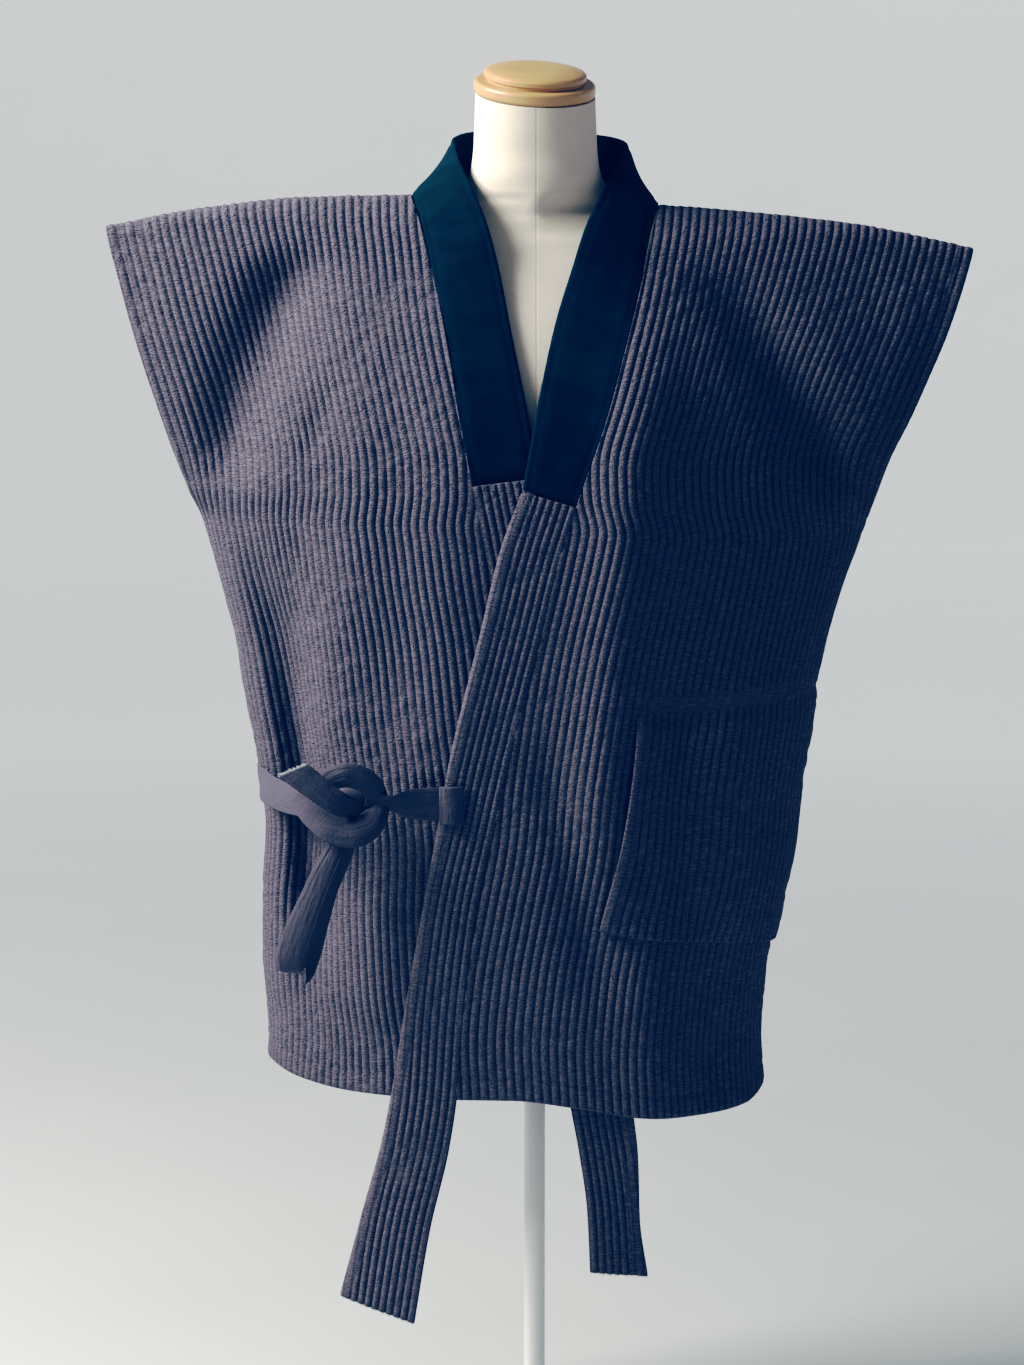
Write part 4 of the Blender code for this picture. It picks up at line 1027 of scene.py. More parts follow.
# %% Collar cover
COLLAR_STATIONS = (
    ("seam_x", "seam_z", "free_x", "free_y", "free_z", "laid"),
    (-0.0560, 0.8920, 0.0010, -0.130, 0.8985, 1.0),
    (-0.0665, 0.9450, -0.0090, -0.126, 0.9560, 1.0),
    (-0.0780, 1.0120, -0.0235, -0.112, 1.0260, 1.0),
    (-0.0885, 1.0600, -0.0335, -0.094, 1.0760, 0.8),
    (-0.0975, 1.0950, -0.0435, -0.070, 1.1130, 0.3),
    (-0.1050, 1.1200, -0.0570, -0.040, 1.1440, 0.0),
    (-0.1110, 1.1340, -0.0690, -0.004, 1.1690, 0.0),
    (-0.0960, 1.1300, -0.0730, 0.030, 1.1840, 0.0),
    (-0.0560, 1.1210, -0.0520, 0.058, 1.1900, 0.0),
    (0.0000, 1.1160, 0.0000, 0.066, 1.1900, 0.0),
    (0.0560, 1.1170, 0.0570, 0.058, 1.1870, 0.0),
    (0.0960, 1.1230, 0.0810, 0.030, 1.1800, 0.0),
    (0.1110, 1.1250, 0.0730, -0.004, 1.1620, 0.0),
    (0.1055, 1.1100, 0.0580, -0.040, 1.1380, 0.0),
    (0.0985, 1.0830, 0.0435, -0.072, 1.1080, 0.3),
    (0.0905, 1.0500, 0.0325, -0.098, 1.0740, 0.8),
    (0.0781, 1.0030, 0.0180, -0.118, 1.0280, 1.0),
    (0.0615, 0.9440, 0.0035, -0.132, 0.9640, 1.0),
    (0.0364, 0.8740, -0.0103, -0.136, 0.8880, 1.0),
)
COLLAR_ROWS = 260
COLLAR_COLUMNS = 26
COLLAR_GAP = 0.0007
COLLAR_RISE = 0.0030


def collar_grid():
    """Points of the collar from its end on the under front, round the neck, to the over front."""
    along = np.linspace(0, 1, len(COLLAR_STATIONS) - 1)
    spread = (("at",) + COLLAR_STATIONS[0],) + tuple((s,) + row for s, row in zip(along, COLLAR_STATIONS[1:]))
    at = np.linspace(0, 1, COLLAR_ROWS)
    seam_x, seam_z, free_x, free_y, free_z, laid = (read(spread, "at", key, at) for key in COLLAR_STATIONS[0])
    behind = (at > along[6]) & (at < along[12])
    on_fronts = np.where(seam_x < 0, read(UNDER_SEAM, "z", "x", seam_z), read(OVER_SEAM, "z", "x", seam_z))
    seam_z = np.where(behind, read(NAPE, "x", "z", seam_x), seam_z)
    seam_x = np.where(behind, seam_x, on_fronts)
    fronts = np.where(seam_x < 0, front_y(seam_x, seam_z), over_y(seam_x, seam_z))
    seam_y = np.where(behind, back_y(seam_x, seam_z), fronts)
    across = np.linspace(0, 1, COLLAR_COLUMNS)[None, :, None]
    seam = np.stack([seam_x, seam_y, seam_z], axis=1)[:, None, :]
    free = np.stack([free_x, free_y, free_z], axis=1)[:, None, :]
    points = seam + (free - seam) * across
    x, z = points[:, :, 0], points[:, :, 2]
    on_front = np.where((seam_x < 0)[:, None], front_y(x, z), over_y(x, z))
    weight = laid[:, None]
    points[:, :, 1] = points[:, :, 1] * (1 - weight) + on_front * weight
    inward = unit(points[:, 1] - points[:, 0])
    fade = (1 - np.linspace(0, 1, COLLAR_COLUMNS)) ** 4
    lift = (COLLAR_GAP + COLLAR_RISE * (1 - laid))[:, None] * fade
    return points + inward[:, None, :] * lift[:, :, None]


def grid_normals(grid):
    down = np.gradient(grid, axis=0)
    across = np.gradient(grid, axis=1)
    return unit(np.cross(across, down))


def distances(grid):
    """Cloth coordinates of a plain grid: metres across and metres along."""
    across = np.linalg.norm(np.diff(grid, axis=1), axis=2)
    along = np.linalg.norm(np.diff(grid, axis=0), axis=2).mean(axis=1)
    u = np.concatenate([np.zeros((len(grid), 1)), np.cumsum(across, axis=1)], axis=1)
    v = np.concatenate([[0], np.cumsum(along)])[:, None] + 0 * u
    return u, v


def make_collar():
    face = collar_grid()
    out = grid_normals(face)
    out *= -np.sign(out[0, 5, 1])
    u, v = distances(face)
    width = u[:, -1:]
    edge = np.minimum(u, width - u)
    end = np.minimum(v, v[-1:] - v)
    soft = 0.0009 * soft_noise(u / 0.045, v / 0.060, 61) + 0.0004 * soft_noise(u / 0.016, v / 0.022, 62)
    puffed = 0.0008 * ramp(0, 0.012, edge) * ramp(0, 0.010, end)
    stitched = 0.0005 * dip(edge - 0.0045, 0.0014)
    relief = (soft + puffed - stitched) * ramp(0, 0.004, edge)
    first = np.zeros(len(face), int)
    last = np.full(len(face), face.shape[1] - 1)
    rolls = (0.0008, 0.0013, 0.0008, 0.0006)
    uv = np.stack([u, v], axis=2)
    return shell("collar_cover", face, out, first, last, relief, COLLAR, uv, (90, 7), collar_cloth, rolls)


collar = make_collar()

# %% Pocket
POCKET_OPENING = (
    ("z", "x"),
    (0.485, 0.0545),
    (0.569, 0.0721),
    (0.634, 0.0815),
    (0.685, 0.0874),
    (0.706, 0.0915),
)
POCKET_BOTTOM = (
    ("x", "z"),
    (0.054, 0.5000),
    (0.110, 0.4880),
    (0.160, 0.4820),
    (0.215, 0.4700),
)
POCKET_TOP = (
    ("x", "z"),
    (0.0600, 0.7048),
    (0.2500, 0.7124),
)
POCKET_LIFT = 0.0045
POCKET_SINKS = -0.0012
POCKET_ROLL = 0.0100
POCKET_ROWS = 84


def pocket_lines():
    """Rows of the pocket on the over front, from the side seam to the slanted opening."""
    turn = (1 - np.cos(np.linspace(0, np.pi, 241))) / 2
    points = []
    normals = []
    for share in np.linspace(0, 1, POCKET_ROWS):
        def z_of(x, share=share):
            high = read(POCKET_TOP, "x", "z", x)
            return high + (read(POCKET_BOTTOM, "x", "z", x) - high) * share

        low = side_x(1, z_of) * 0.9996
        high = 0.07
        for _ in range(8):
            high = float(read(POCKET_OPENING, "z", "x", z_of(high)))
        x = low + (high - low) * turn
        z = z_of(x)
        points.append(np.stack([x, over_y(x, z), z], axis=1))
        normals.append(outward(over_y, x, z, True, 0.0))
    return np.array(points), np.array(normals)


def make_pocket():
    points, normals = pocket_lines()
    face, out, u, channel, first, last = cut_on_channels(points, normals, 6, soften=3)
    v = -face[:, :, 2]
    from_top = face[:1, :, 2] - face[:, :, 2]
    from_bottom = face[:, :, 2] - face[-1:, :, 2]
    from_opening = u[:, -1:] - u
    down = np.linspace(0, 1, len(face))[:, None]
    stands = 0.0040 * np.sin(np.pi * down) ** 0.8 * np.exp(-from_opening / 0.022)
    lift = POCKET_SINKS + (POCKET_LIFT - POCKET_SINKS) * ramp(0, 0.040, from_top) + stands
    face = face + out * lift[:, :, None]
    plain = 1 - ramp(POCKET_ROLL - 0.001, POCKET_ROLL + 0.0008, from_opening)
    roll = 0.0012 * np.sin(np.pi * np.clip(from_opening / POCKET_ROLL, 0, 1)) - 0.0002
    relief = quilting(channel, v, 23) * (1 - plain) + roll * plain
    relief = relief - 0.0008 * dip(from_bottom - 0.004, 0.0012)
    relief = relief * ramp(-0.0015, 0.003, from_bottom)
    rolls = (0.0005, 0.0014, 0.0008, 0.0004)
    uv = np.stack([channel, v], axis=2)
    piece = shell("pocket_cloth", face, out, first, last, relief, QUILT, uv, (24, 14), quilted_cotton, rolls)
    outer = surface(face, out, relief, QUILT)
    row = int(np.argmin(np.abs(from_bottom.mean(axis=1) - 0.004)))
    hold_line(outer[row, 2: last[row] - 1])
    hold_line(np.array([outer[r, max(last[r] - 8, 0)] for r in range(10, len(outer) - 2)]))
    return piece


pocket = make_pocket()

# %% [markdown]
# ## Ties and knot
# Two straps of the same cotton are tied at the side. Each is a folded strip with stitched edges, so
# it is modelled as a flat padded strap that follows its own path, with its width and its turn given
# at a few points. The knot is the crossing of three such straps: an arch over the top, a wide
# crescent below, and the loose end that comes out between them and stands away from the body. A lump
# would carry the same size, but a knot is read by the straps that pass over and under each other.

# %% Straps along a path
TIE_FROM_BAND = (
    ("x", "y", "z", "width", "turn"),
    (-0.0835, -0.1400, 0.6125, 0.028, 0),
    (-0.0959, -0.1420, 0.6130, 0.027, 2),
    (-0.1107, -0.1445, 0.6135, 0.025, 10),
    (-0.1264, -0.1465, 0.6145, 0.016, 34),
    (-0.1368, -0.1475, 0.6165, 0.014, 20),
    (-0.1480, -0.1490, 0.6185, 0.013, 0),
)
TIE_FROM_SIDE = (
    ("x", "y", "z", "width", "turn"),
    (-0.2474, -0.0060, 0.6150, 0.025, -9),
    (-0.2448, -0.0340, 0.6150, 0.025, 0),
    (-0.2385, -0.0640, 0.6142, 0.025, 6),
    (-0.2270, -0.0920, 0.6130, 0.025, 5),
    (-0.2130, -0.1185, 0.6120, 0.023, 3),
    (-0.1960, -0.1400, 0.6110, 0.020, 0),
)
ARCH = (
    ("x", "y", "z", "width", "turn"),
    (-0.1850, -0.1400, 0.6240, 0.017, 0),
    (-0.1770, -0.1500, 0.6365, 0.020, -12),
    (-0.1630, -0.1560, 0.6405, 0.022, -18),
    (-0.1500, -0.1545, 0.6365, 0.021, -14),
    (-0.1410, -0.1490, 0.6270, 0.018, -6),
    (-0.1360, -0.1420, 0.6160, 0.014, 0),
)
CRESCENT = (
    ("x", "y", "z", "width", "turn"),
    (-0.2090, -0.1390, 0.6180, 0.014, 0),
    (-0.2000, -0.1480, 0.6110, 0.019, 10),
    (-0.1880, -0.1560, 0.6020, 0.023, 18),
    (-0.1745, -0.1600, 0.5945, 0.026, 22),
    (-0.1600, -0.1605, 0.5915, 0.027, 22),
    (-0.1470, -0.1570, 0.5955, 0.024, 16),
    (-0.1385, -0.1500, 0.6050, 0.019, 6),
    (-0.1350, -0.1420, 0.6150, 0.014, 0),
)
LOOSE_END = (
    ("x", "y", "z", "width", "turn"),
    (-0.1590, -0.1540, 0.6110, 0.015, -6),
    (-0.1700, -0.1645, 0.6165, 0.019, -10),
    (-0.1800, -0.1665, 0.6235, 0.020, -12),
    (-0.1905, -0.1670, 0.6315, 0.021, -12),
    (-0.2010, -0.1665, 0.6395, 0.022, -10),
    (-0.2100, -0.1655, 0.6460, 0.022, -8),
)
LOOP = (
    ("x", "y", "z", "width", "side_x", "side_y", "side_z"),
    (-0.1680, -0.1480, 0.5890, 0.016, -0.90, 0.00, 0.40),
    (-0.1740, -0.1530, 0.5740, 0.017, -0.91, 0.05, 0.39),
    (-0.1835, -0.1560, 0.5550, 0.020, -0.93, 0.08, 0.37),
    (-0.1945, -0.1575, 0.5300, 0.022, -0.94, 0.10, 0.34),
    (-0.2050, -0.1580, 0.5040, 0.025, -0.95, 0.10, 0.30),
    (-0.2130, -0.1565, 0.4790, 0.026, -0.97, 0.08, 0.24),
    (-0.2115, -0.1520, 0.4680, 0.026, -0.97, -0.05, 0.16),
    (-0.2050, -0.1470, 0.4660, 0.024, -0.88, -0.40, 0.14),
    (-0.1965, -0.1435, 0.4790, 0.022, -0.66, -0.72, 0.20),
    (-0.1875, -0.1410, 0.5060, 0.021, -0.46, -0.87, 0.20),
    (-0.1780, -0.1390, 0.5360, 0.020, -0.38, -0.91, 0.18),
    (-0.1680, -0.1380, 0.5600, 0.021, -0.35, -0.90, 0.20),
    (-0.1600, -0.1370, 0.5800, 0.018, -0.30, -0.93, 0.15),
)


def strap_frame(table, rows):
    """Middle points, width direction and outward direction along a strap."""
    along = np.linspace(0, 1, len(table) - 1)
    spread = (("at",) + table[0],) + tuple((s,) + row for s, row in zip(along, table[1:]))
    at = np.linspace(0, 1, rows)
    middle = np.stack([read(spread, "at", key, at) for key in ("x", "y", "z")], axis=1)
    width = read(spread, "at", "width", at)
    run = unit(np.gradient(middle, axis=0))
    if "turn" in table[0]:
        angle = np.radians(read(spread, "at", "turn", at))[:, None]
        side = unit(np.cross(run, np.array([0.0, -1.0, 0.0])))
        side = side * np.cos(angle) + np.cross(side, run) * np.sin(angle)
    else:
        side = np.stack([read(spread, "at", key, at) for key in ("side_x", "side_y", "side_z")], axis=1)
        side = unit(side - run * (side * run).sum(axis=1, keepdims=True))
    return middle, side, unit(np.cross(side, run)), width


def strap(name, table, rows, seed, crown=0.0008, lines=2, columns=22, ends=(0.0003, 0.0003), slant=0.0):
    """A padded strap with its stitched edge lines. crown is how far its middle stands up."""
    middle, side, out, width = strap_frame(table, rows)
    across = np.linspace(-0.5, 0.5, columns)
    reach = across[None, :] * width[:, None]
    face = middle[:, None, :] + side[:, None, :] * reach[:, :, None]
    if slant:
        run = unit(np.gradient(middle, axis=0))
        fade = np.linspace(0, 1, rows) ** 6
        face = face + run[:, None, :] * (slant * fade[:, None] * reach)[:, :, None]
    normal = np.repeat(out[:, None, :], columns, axis=1)
    bulge = crown * 4 * (0.25 - across[None, :] ** 2)
    face = face + normal * bulge[:, :, None]
    u, v = distances(face)
    edge = np.minimum(u, u[:, -1:] - u)
    groove = dip(edge - 0.0036, 0.0009)
    if lines > 2:
        groove = groove + dip(u - u[:, -1:] / 2, 0.0010)
    relief = -0.0005 * groove + 0.00025 * soft_noise(u / 0.006, v / 0.010, seed)
    relief = relief - 0.0009 * (1 - ramp(0, 0.0022, edge))
    first = np.zeros(rows, int)
    last = np.full(rows, columns - 1)
    rolls = (ends[0], STRAP * 0.45, ends[1], STRAP * 0.45)
    uv = np.stack([u, v], axis=2)
    piece = shell(name, face, unit(normal + side[:, None, :] * (across * crown * 60)[None, :, None]), first, last,
                  relief, STRAP, uv, (max(rows // 2, 4), 9), tie_cotton, rolls)
    outer = face + normal * (STRAP / 2 + relief)[:, :, None]
    places = [int(round(0.0036 / u[:, -1].mean() * (columns - 1)))]
    places = [places[0], columns - 1 - places[0]] + ([columns // 2] if lines > 2 else [])
    for place in places:
        hold_line(outer[1:-1, place])
    return piece, outer


tie_band, _ = strap("tie_from_band_cloth", TIE_FROM_BAND, 60, 81, lines=3)
tie_side, _ = strap("tie_from_side_cloth", TIE_FROM_SIDE, 76, 82)
tie_end, end_outer = strap("tie_end_cloth", LOOSE_END, 60, 83, lines=3, slant=-0.62)
tie_loop, _ = strap("tie_loop_cloth", LOOP, 150, 84, crown=0.0016, lines=2)

# %% Knot and tab
KNOT_CORE = (-0.1590, -0.1360, 0.6120)
KNOT_CORE_SIZE = (0.018, 0.008, 0.017)
TAB_AT = (-0.0735, 0.6115)
TAB_SIZE = (0.0195, 0.0320)


def joined(name, pieces):
    """Joins finished meshes into one piece that keeps every closed body apart."""
    work = bmesh.new()
    for piece in pieces:
        work.from_mesh(piece.data)
    mesh = bpy.data.meshes.new(name)
    work.to_mesh(mesh)
    work.free()
    mesh.materials.append(pieces[0].data.materials[0])
    mesh.shade_smooth()
    for piece in pieces:
        bpy.data.objects.remove(piece)
    made = bpy.data.objects.new(name, mesh)
    REST.objects.link(made)
    print(name, "joined, with", len(mesh.polygons), "faces")
    return made


def knot_core():
    """The hidden middle of the knot, which closes the gap between its straps."""
    mesh = bpy.data.meshes.new("knot_core")
    work = bmesh.new()
    bmesh.ops.create_uvsphere(work, u_segments=32, v_segments=20, radius=1.0)
    work.loops.layers.uv.new("cloth")
    place = Matrix.Translation(KNOT_CORE) @ Matrix.Diagonal((*KNOT_CORE_SIZE, 1))
    bmesh.ops.transform(work, matrix=place, verts=work.verts)
    work.to_mesh(mesh)
    work.free()
    mesh.materials.append(tie_cotton)
    piece = bpy.data.objects.new("knot_core", mesh)
    REST.objects.link(piece)
    return piece


arch, _ = strap("arch", ARCH, 70, 91, crown=0.0028, lines=3)
crescent, _ = strap("crescent", CRESCENT, 90, 92, crown=0.0036, lines=3)
knot = joined("knot_cloth", [arch, crescent, knot_core()])


def make_tab():
    """The patch that wraps the band's free edge and holds the strap."""
    rows, columns = 30, 24
    share = np.linspace(-0.5, 0.5, columns)[None, :]
    height = np.linspace(0.5, -0.5, rows)[:, None]
    x = TAB_AT[0] + TAB_SIZE[0] * share + 0 * height
    z = TAB_AT[1] + TAB_SIZE[1] * height + 0 * share
    lift = BAND / 2 + STRAP / 2 + 0.0007 + 0.0034 * np.cos(np.pi * share * 0.9)
    face = np.stack([x, over_y(x, z) - lift, z], axis=2)
    out = grid_normals(face)
    out *= -np.sign(out[5, 5, 1])
    u, v = distances(face)
    relief = 0.0003 * soft_noise(u / 0.005, v / 0.007, 95) - 0.0004 * dip(u - 0.0025, 0.0008)
    first = np.zeros(rows, int)
    last = np.full(rows, columns - 1)
    uv = np.stack([u, v], axis=2)
    return shell("tie_tab_cloth", face, out, first, last, relief, STRAP, uv, (12, 8), tie_cotton,
                 (0.0011, 0.0011, 0.0011, 0.0011))


tab = make_tab()

# %% [markdown]
# ## Stitches and raw threads
# Hundreds of stitches follow the hems, the pocket and the straps, and the cut ends of the tie and the
# tails fray. Both repeat along a path, so Geometry Nodes make them: a line of points becomes a curve,
# the curve is divided evenly, and one small thread is placed at every division. They could be drawn
# in the material, but a real thread stands above the cloth and catches light.

# %% Node trees that follow a line
def socket(tree, name, kind, value):
    made = tree.interface.new_socket(name, in_out="INPUT", socket_type=kind)
    if value is not None:
        made.default_value = value
    return made


def line_object(name, lines, directions=None):
    """A mesh of open lines, with a direction kept at every point."""
    points = np.concatenate(lines)
    edges = []
    start = 0
    for line in lines:
        edges += [(start + k, start + k + 1) for k in range(len(line) - 1)]
        start += len(line)
    mesh = bpy.data.meshes.new(name)
    mesh.from_pydata(points.tolist(), edges, [])
    if directions is not None:
        layer = mesh.attributes.new("heading", "FLOAT_VECTOR", "POINT")
        layer.data.foreach_set("vector", np.concatenate(directions).astype(np.float32).ravel())
    holder = bpy.data.objects.new(name, mesh)
    REST.objects.link(holder)
    return holder


def run_tree(holder, tree, values, name):
    """Runs a node tree on a line object and keeps the result as a plain mesh."""
    modifier = holder.modifiers.new("threads", "NODES")
    modifier.node_group = tree
    for key, value in values.items():
        item = tree.interface.items_tree[key]
        modifier[item.identifier] = value
    bpy.context.view_layer.update()
    graph = bpy.context.evaluated_depsgraph_get()
    mesh = bpy.data.meshes.new_from_object(holder.evaluated_get(graph))
    mesh.name = name
    bpy.data.objects.remove(holder)
    made = bpy.data.objects.new(name, mesh)
    REST.objects.link(made)
    print(name, "has", len(mesh.polygons), "faces")
    return made


def stitch_tree():
    """Stitches along each line: a slim rounded thread at every step, laid along the line."""
    tree = bpy.data.node_groups.new("running stitches", "GeometryNodeTree")
    socket(tree, "Lines", "NodeSocketGeometry", None)
    socket(tree, "Spacing", "NodeSocketFloat", 0.003)
    socket(tree, "Stitch length", "NodeSocketFloat", 0.002)
    socket(tree, "Thread width", "NodeSocketFloat", 0.0005)
    socket(tree, "Thread", "NodeSocketMaterial", None)
    tree.interface.new_socket("Stitches", in_out="OUTPUT", socket_type="NodeSocketGeometry")
    inlet = tree.nodes.new("NodeGroupInput").outputs
    curve = add_node(tree, "GeometryNodeMeshToCurve", {"Mesh": inlet["Lines"]}).outputs["Curve"]
    even = add_node(tree, "GeometryNodeResampleCurve", {"Curve": curve, "Length": inlet["Spacing"]}, mode="LENGTH")
    tangent = tree.nodes.new("GeometryNodeInputTangent").outputs[0]
    turned = add_node(tree, "FunctionNodeAlignEulerToVector", {"Vector": tangent}, axis="Z").outputs["Rotation"]
    grain = add_node(tree, "GeometryNodeMeshIcoSphere", {"Radius": 0.5, "Subdivisions": 1}).outputs["Mesh"]
    size = add_node(tree, "ShaderNodeCombineXYZ", {"X": inlet["Thread width"], "Y": inlet["Thread width"],
                                                   "Z": inlet["Stitch length"]}).outputs[0]
    placed = add_node(tree, "GeometryNodeInstanceOnPoints", {"Points": even.outputs["Curve"], "Instance": grain,
                                                             "Rotation": turned, "Scale": size})
    real = add_node(tree, "GeometryNodeRealizeInstances", {"Geometry": placed.outputs["Instances"]})
    smooth = add_node(tree, "GeometryNodeSetShadeSmooth", {"Geometry": real.outputs["Geometry"]})
    painted = add_node(tree, "GeometryNodeSetMaterial", {"Geometry": smooth.outputs["Geometry"],
                                                         "Material": inlet["Thread"]})
    add_node(tree, "NodeGroupOutput", {"Stitches": painted.outputs["Geometry"]})
    return tree


def fray_tree():
    """Loose threads along a cut end, each leaning its own way and of its own length."""
    tree = bpy.data.node_groups.new("frayed threads", "GeometryNodeTree")
    socket(tree, "Ends", "NodeSocketGeometry", None)
    socket(tree, "Spacing", "NodeSocketFloat", 0.0005)
    socket(tree, "Thread length", "NodeSocketFloat", 0.004)
    socket(tree, "Thread width", "NodeSocketFloat", 0.0003)
    socket(tree, "Spread", "NodeSocketFloat", 0.7)
    socket(tree, "Seed", "NodeSocketInt", 5)
    socket(tree, "Thread", "NodeSocketMaterial", None)
    tree.interface.new_socket("Threads", in_out="OUTPUT", socket_type="NodeSocketGeometry")
    inlet = tree.nodes.new("NodeGroupInput").outputs
    curve = add_node(tree, "GeometryNodeMeshToCurve", {"Mesh": inlet["Ends"]}).outputs["Curve"]
    even = add_node(tree, "GeometryNodeResampleCurve", {"Curve": curve, "Length": inlet["Spacing"]}, mode="LENGTH")
    heading = add_node(tree, "GeometryNodeInputNamedAttribute", {"Name": "heading"}, data_type="FLOAT_VECTOR")
    stray = add_node(tree, "FunctionNodeRandomValue", {0: (-1, -1, -1), 1: (1, 1, 1), "Seed": inlet["Seed"]},
                     data_type="FLOAT_VECTOR").outputs[0]
    lean = add_node(tree, "ShaderNodeVectorMath", {0: stray, "Scale": inlet["Spread"]}, operation="SCALE").outputs[0]
    toward = add_node(tree, "ShaderNodeVectorMath", {0: heading.outputs[0], 1: lean}, operation="ADD").outputs[0]
    turned = add_node(tree, "FunctionNodeAlignEulerToVector", {"Vector": toward}, axis="Z").outputs["Rotation"]
    thin = add_node(tree, "GeometryNodeMeshCone", {"Vertices": 5, "Radius Top": 0.25, "Radius Bottom": 0.5,
                                                   "Depth": 1.0}).outputs["Mesh"]
    share = add_node(tree, "FunctionNodeRandomValue", {2: 0.25, 3: 1.0, "Seed": inlet["Seed"]},
                     data_type="FLOAT").outputs[1]
    long = maths(tree, "MULTIPLY", share, inlet["Thread length"])
    size = add_node(tree, "ShaderNodeCombineXYZ", {"X": inlet["Thread width"], "Y": inlet["Thread width"],
                                                   "Z": long}).outputs[0]
    placed = add_node(tree, "GeometryNodeInstanceOnPoints", {"Points": even.outputs["Curve"], "Instance": thin,
                                                             "Rotation": turned, "Scale": size})
    real = add_node(tree, "GeometryNodeRealizeInstances", {"Geometry": placed.outputs["Instances"]})
    smooth = add_node(tree, "GeometryNodeSetShadeSmooth", {"Geometry": real.outputs["Geometry"]})
    painted = add_node(tree, "GeometryNodeSetMaterial", {"Geometry": smooth.outputs["Geometry"],
                                                         "Material": inlet["Thread"]})
    add_node(tree, "NodeGroupOutput", {"Threads": painted.outputs["Geometry"]})
    return tree


# %% Stitches along the held lines
stitches = run_tree(line_object("stitches", stitch_lines), stitch_tree(),
                    {"Spacing": 0.0031, "Stitch length": 0.0025, "Thread width": 0.00055, "Thread": dark_thread},
                    "topstitching")


def end_lines(outer, row, toward, thickness, layers=3):
    """Lines across a cut end, one for each layer of its thickness, with the way its threads point."""
    line = outer[row]
    heading = unit(line - outer[toward])
    inward = unit(np.cross(np.gradient(line, axis=0), heading))
    inward *= np.sign(inward[:, 1:2])
    depths = np.linspace(0.15, 0.85, layers) * thickness
    return [line + inward * depth for depth in depths], [heading] * layers


end_threads = end_lines(end_outer, -1, -4, STRAP)
tail_threads = [end_lines(outer, -1, -4, BAND) for outer in (over_outer, under_outer)]
frays = run_tree(line_object("end threads", *end_threads), fray_tree(),
                 {"Spacing": 0.00045, "Thread length": 0.0036, "Thread width": 0.00032, "Spread": 0.75, "Seed": 5,
                  "Thread": raw_thread}, "frayed_end")
tail_lines = [line for lines, _ in tail_threads for line in lines]
tail_ways = [way for _, ways in tail_threads for way in ways]
tail_frays = run_tree(line_object("tail threads", tail_lines, tail_ways), fray_tree(),
                      {"Spacing": 0.0011, "Thread length": 0.0026, "Thread width": 0.00028, "Spread": 0.8,
                       "Seed": 8, "Thread": dark_thread}, "frayed_tails")

# %% [markdown]
# ## Dress form, cap and stand
# The form is a torso and a neck under stretched linen. Level rings follow its table, so it is a loft
# with far more rings than the CAD solid has. The cap is turned on a lathe in the real object, so its
# profile is spun round an axis here, and so are the pole and the base.

# %% Form
FORM = (
    ("z", "left", "right", "front", "back", "crown", "edge", "middle_y"),
    (0.440, 0.150, 0.150, 0.088, 0.090, 2.2, 0.50, 0.000),
    (0.500, 0.162, 0.160, 0.096, 0.096, 2.2, 0.50, 0.000),
    (0.580, 0.156, 0.154, 0.094, 0.088, 2.2, 0.50, 0.000),
    (0.680, 0.134, 0.132, 0.090, 0.076, 2.2, 0.50, 0.000),
    (0.760, 0.134, 0.132, 0.096, 0.076, 2.2, 0.50, 0.000),
    (0.840, 0.146, 0.144, 0.110, 0.082, 2.2, 0.50, 0.000),
    (0.910, 0.158, 0.156, 0.118, 0.086, 2.2, 0.50, 0.000),
    (0.970, 0.168, 0.164, 0.106, 0.084, 2.2, 0.55, 0.000),
    (1.030, 0.178, 0.172, 0.084, 0.074, 2.1, 0.65, 0.000),
    (1.070, 0.182, 0.174, 0.064, 0.060, 2.0, 0.75, 0.000),
    (1.095, 0.182, 0.172, 0.050, 0.050, 1.8, 0.90, 0.000),
    (1.108, 0.178, 0.166, 0.046, 0.046, 1.5, 1.10, 0.002),
    (1.1186, 0.168, 0.151, 0.047, 0.046, 1.2, 1.20, 0.003),
    (1.1256, 0.145, 0.100, 0.050, 0.047, 1.1, 1.05, 0.004),
    (1.134, 0.084, 0.082, 0.052, 0.048, 1.3, 0.80, 0.004),
    (1.142, 0.066, 0.066, 0.053, 0.049, 1.7, 0.60, 0.004),
    (1.156, 0.0580, 0.0580, 0.053, 0.050, 2.0, 0.50, 0.003),
    (1.176, 0.0550, 0.0550, 0.052, 0.050, 2.0, 0.50, 0.002),
    (1.203, 0.0538, 0.0538, 0.053, 0.051, 2.0, 0.50, 0.000),
    (1.225, 0.0530, 0.0530, 0.053, 0.053, 2.0, 0.50, -0.002),
)
NECK_TOP = (-0.001, -0.002, 1.2250)
NECK_STARTS = 1.156
NECK_TILT_FORWARD = 12.0
NECK_TILT_RIGHT = 2.9
FORM_AROUND = 112


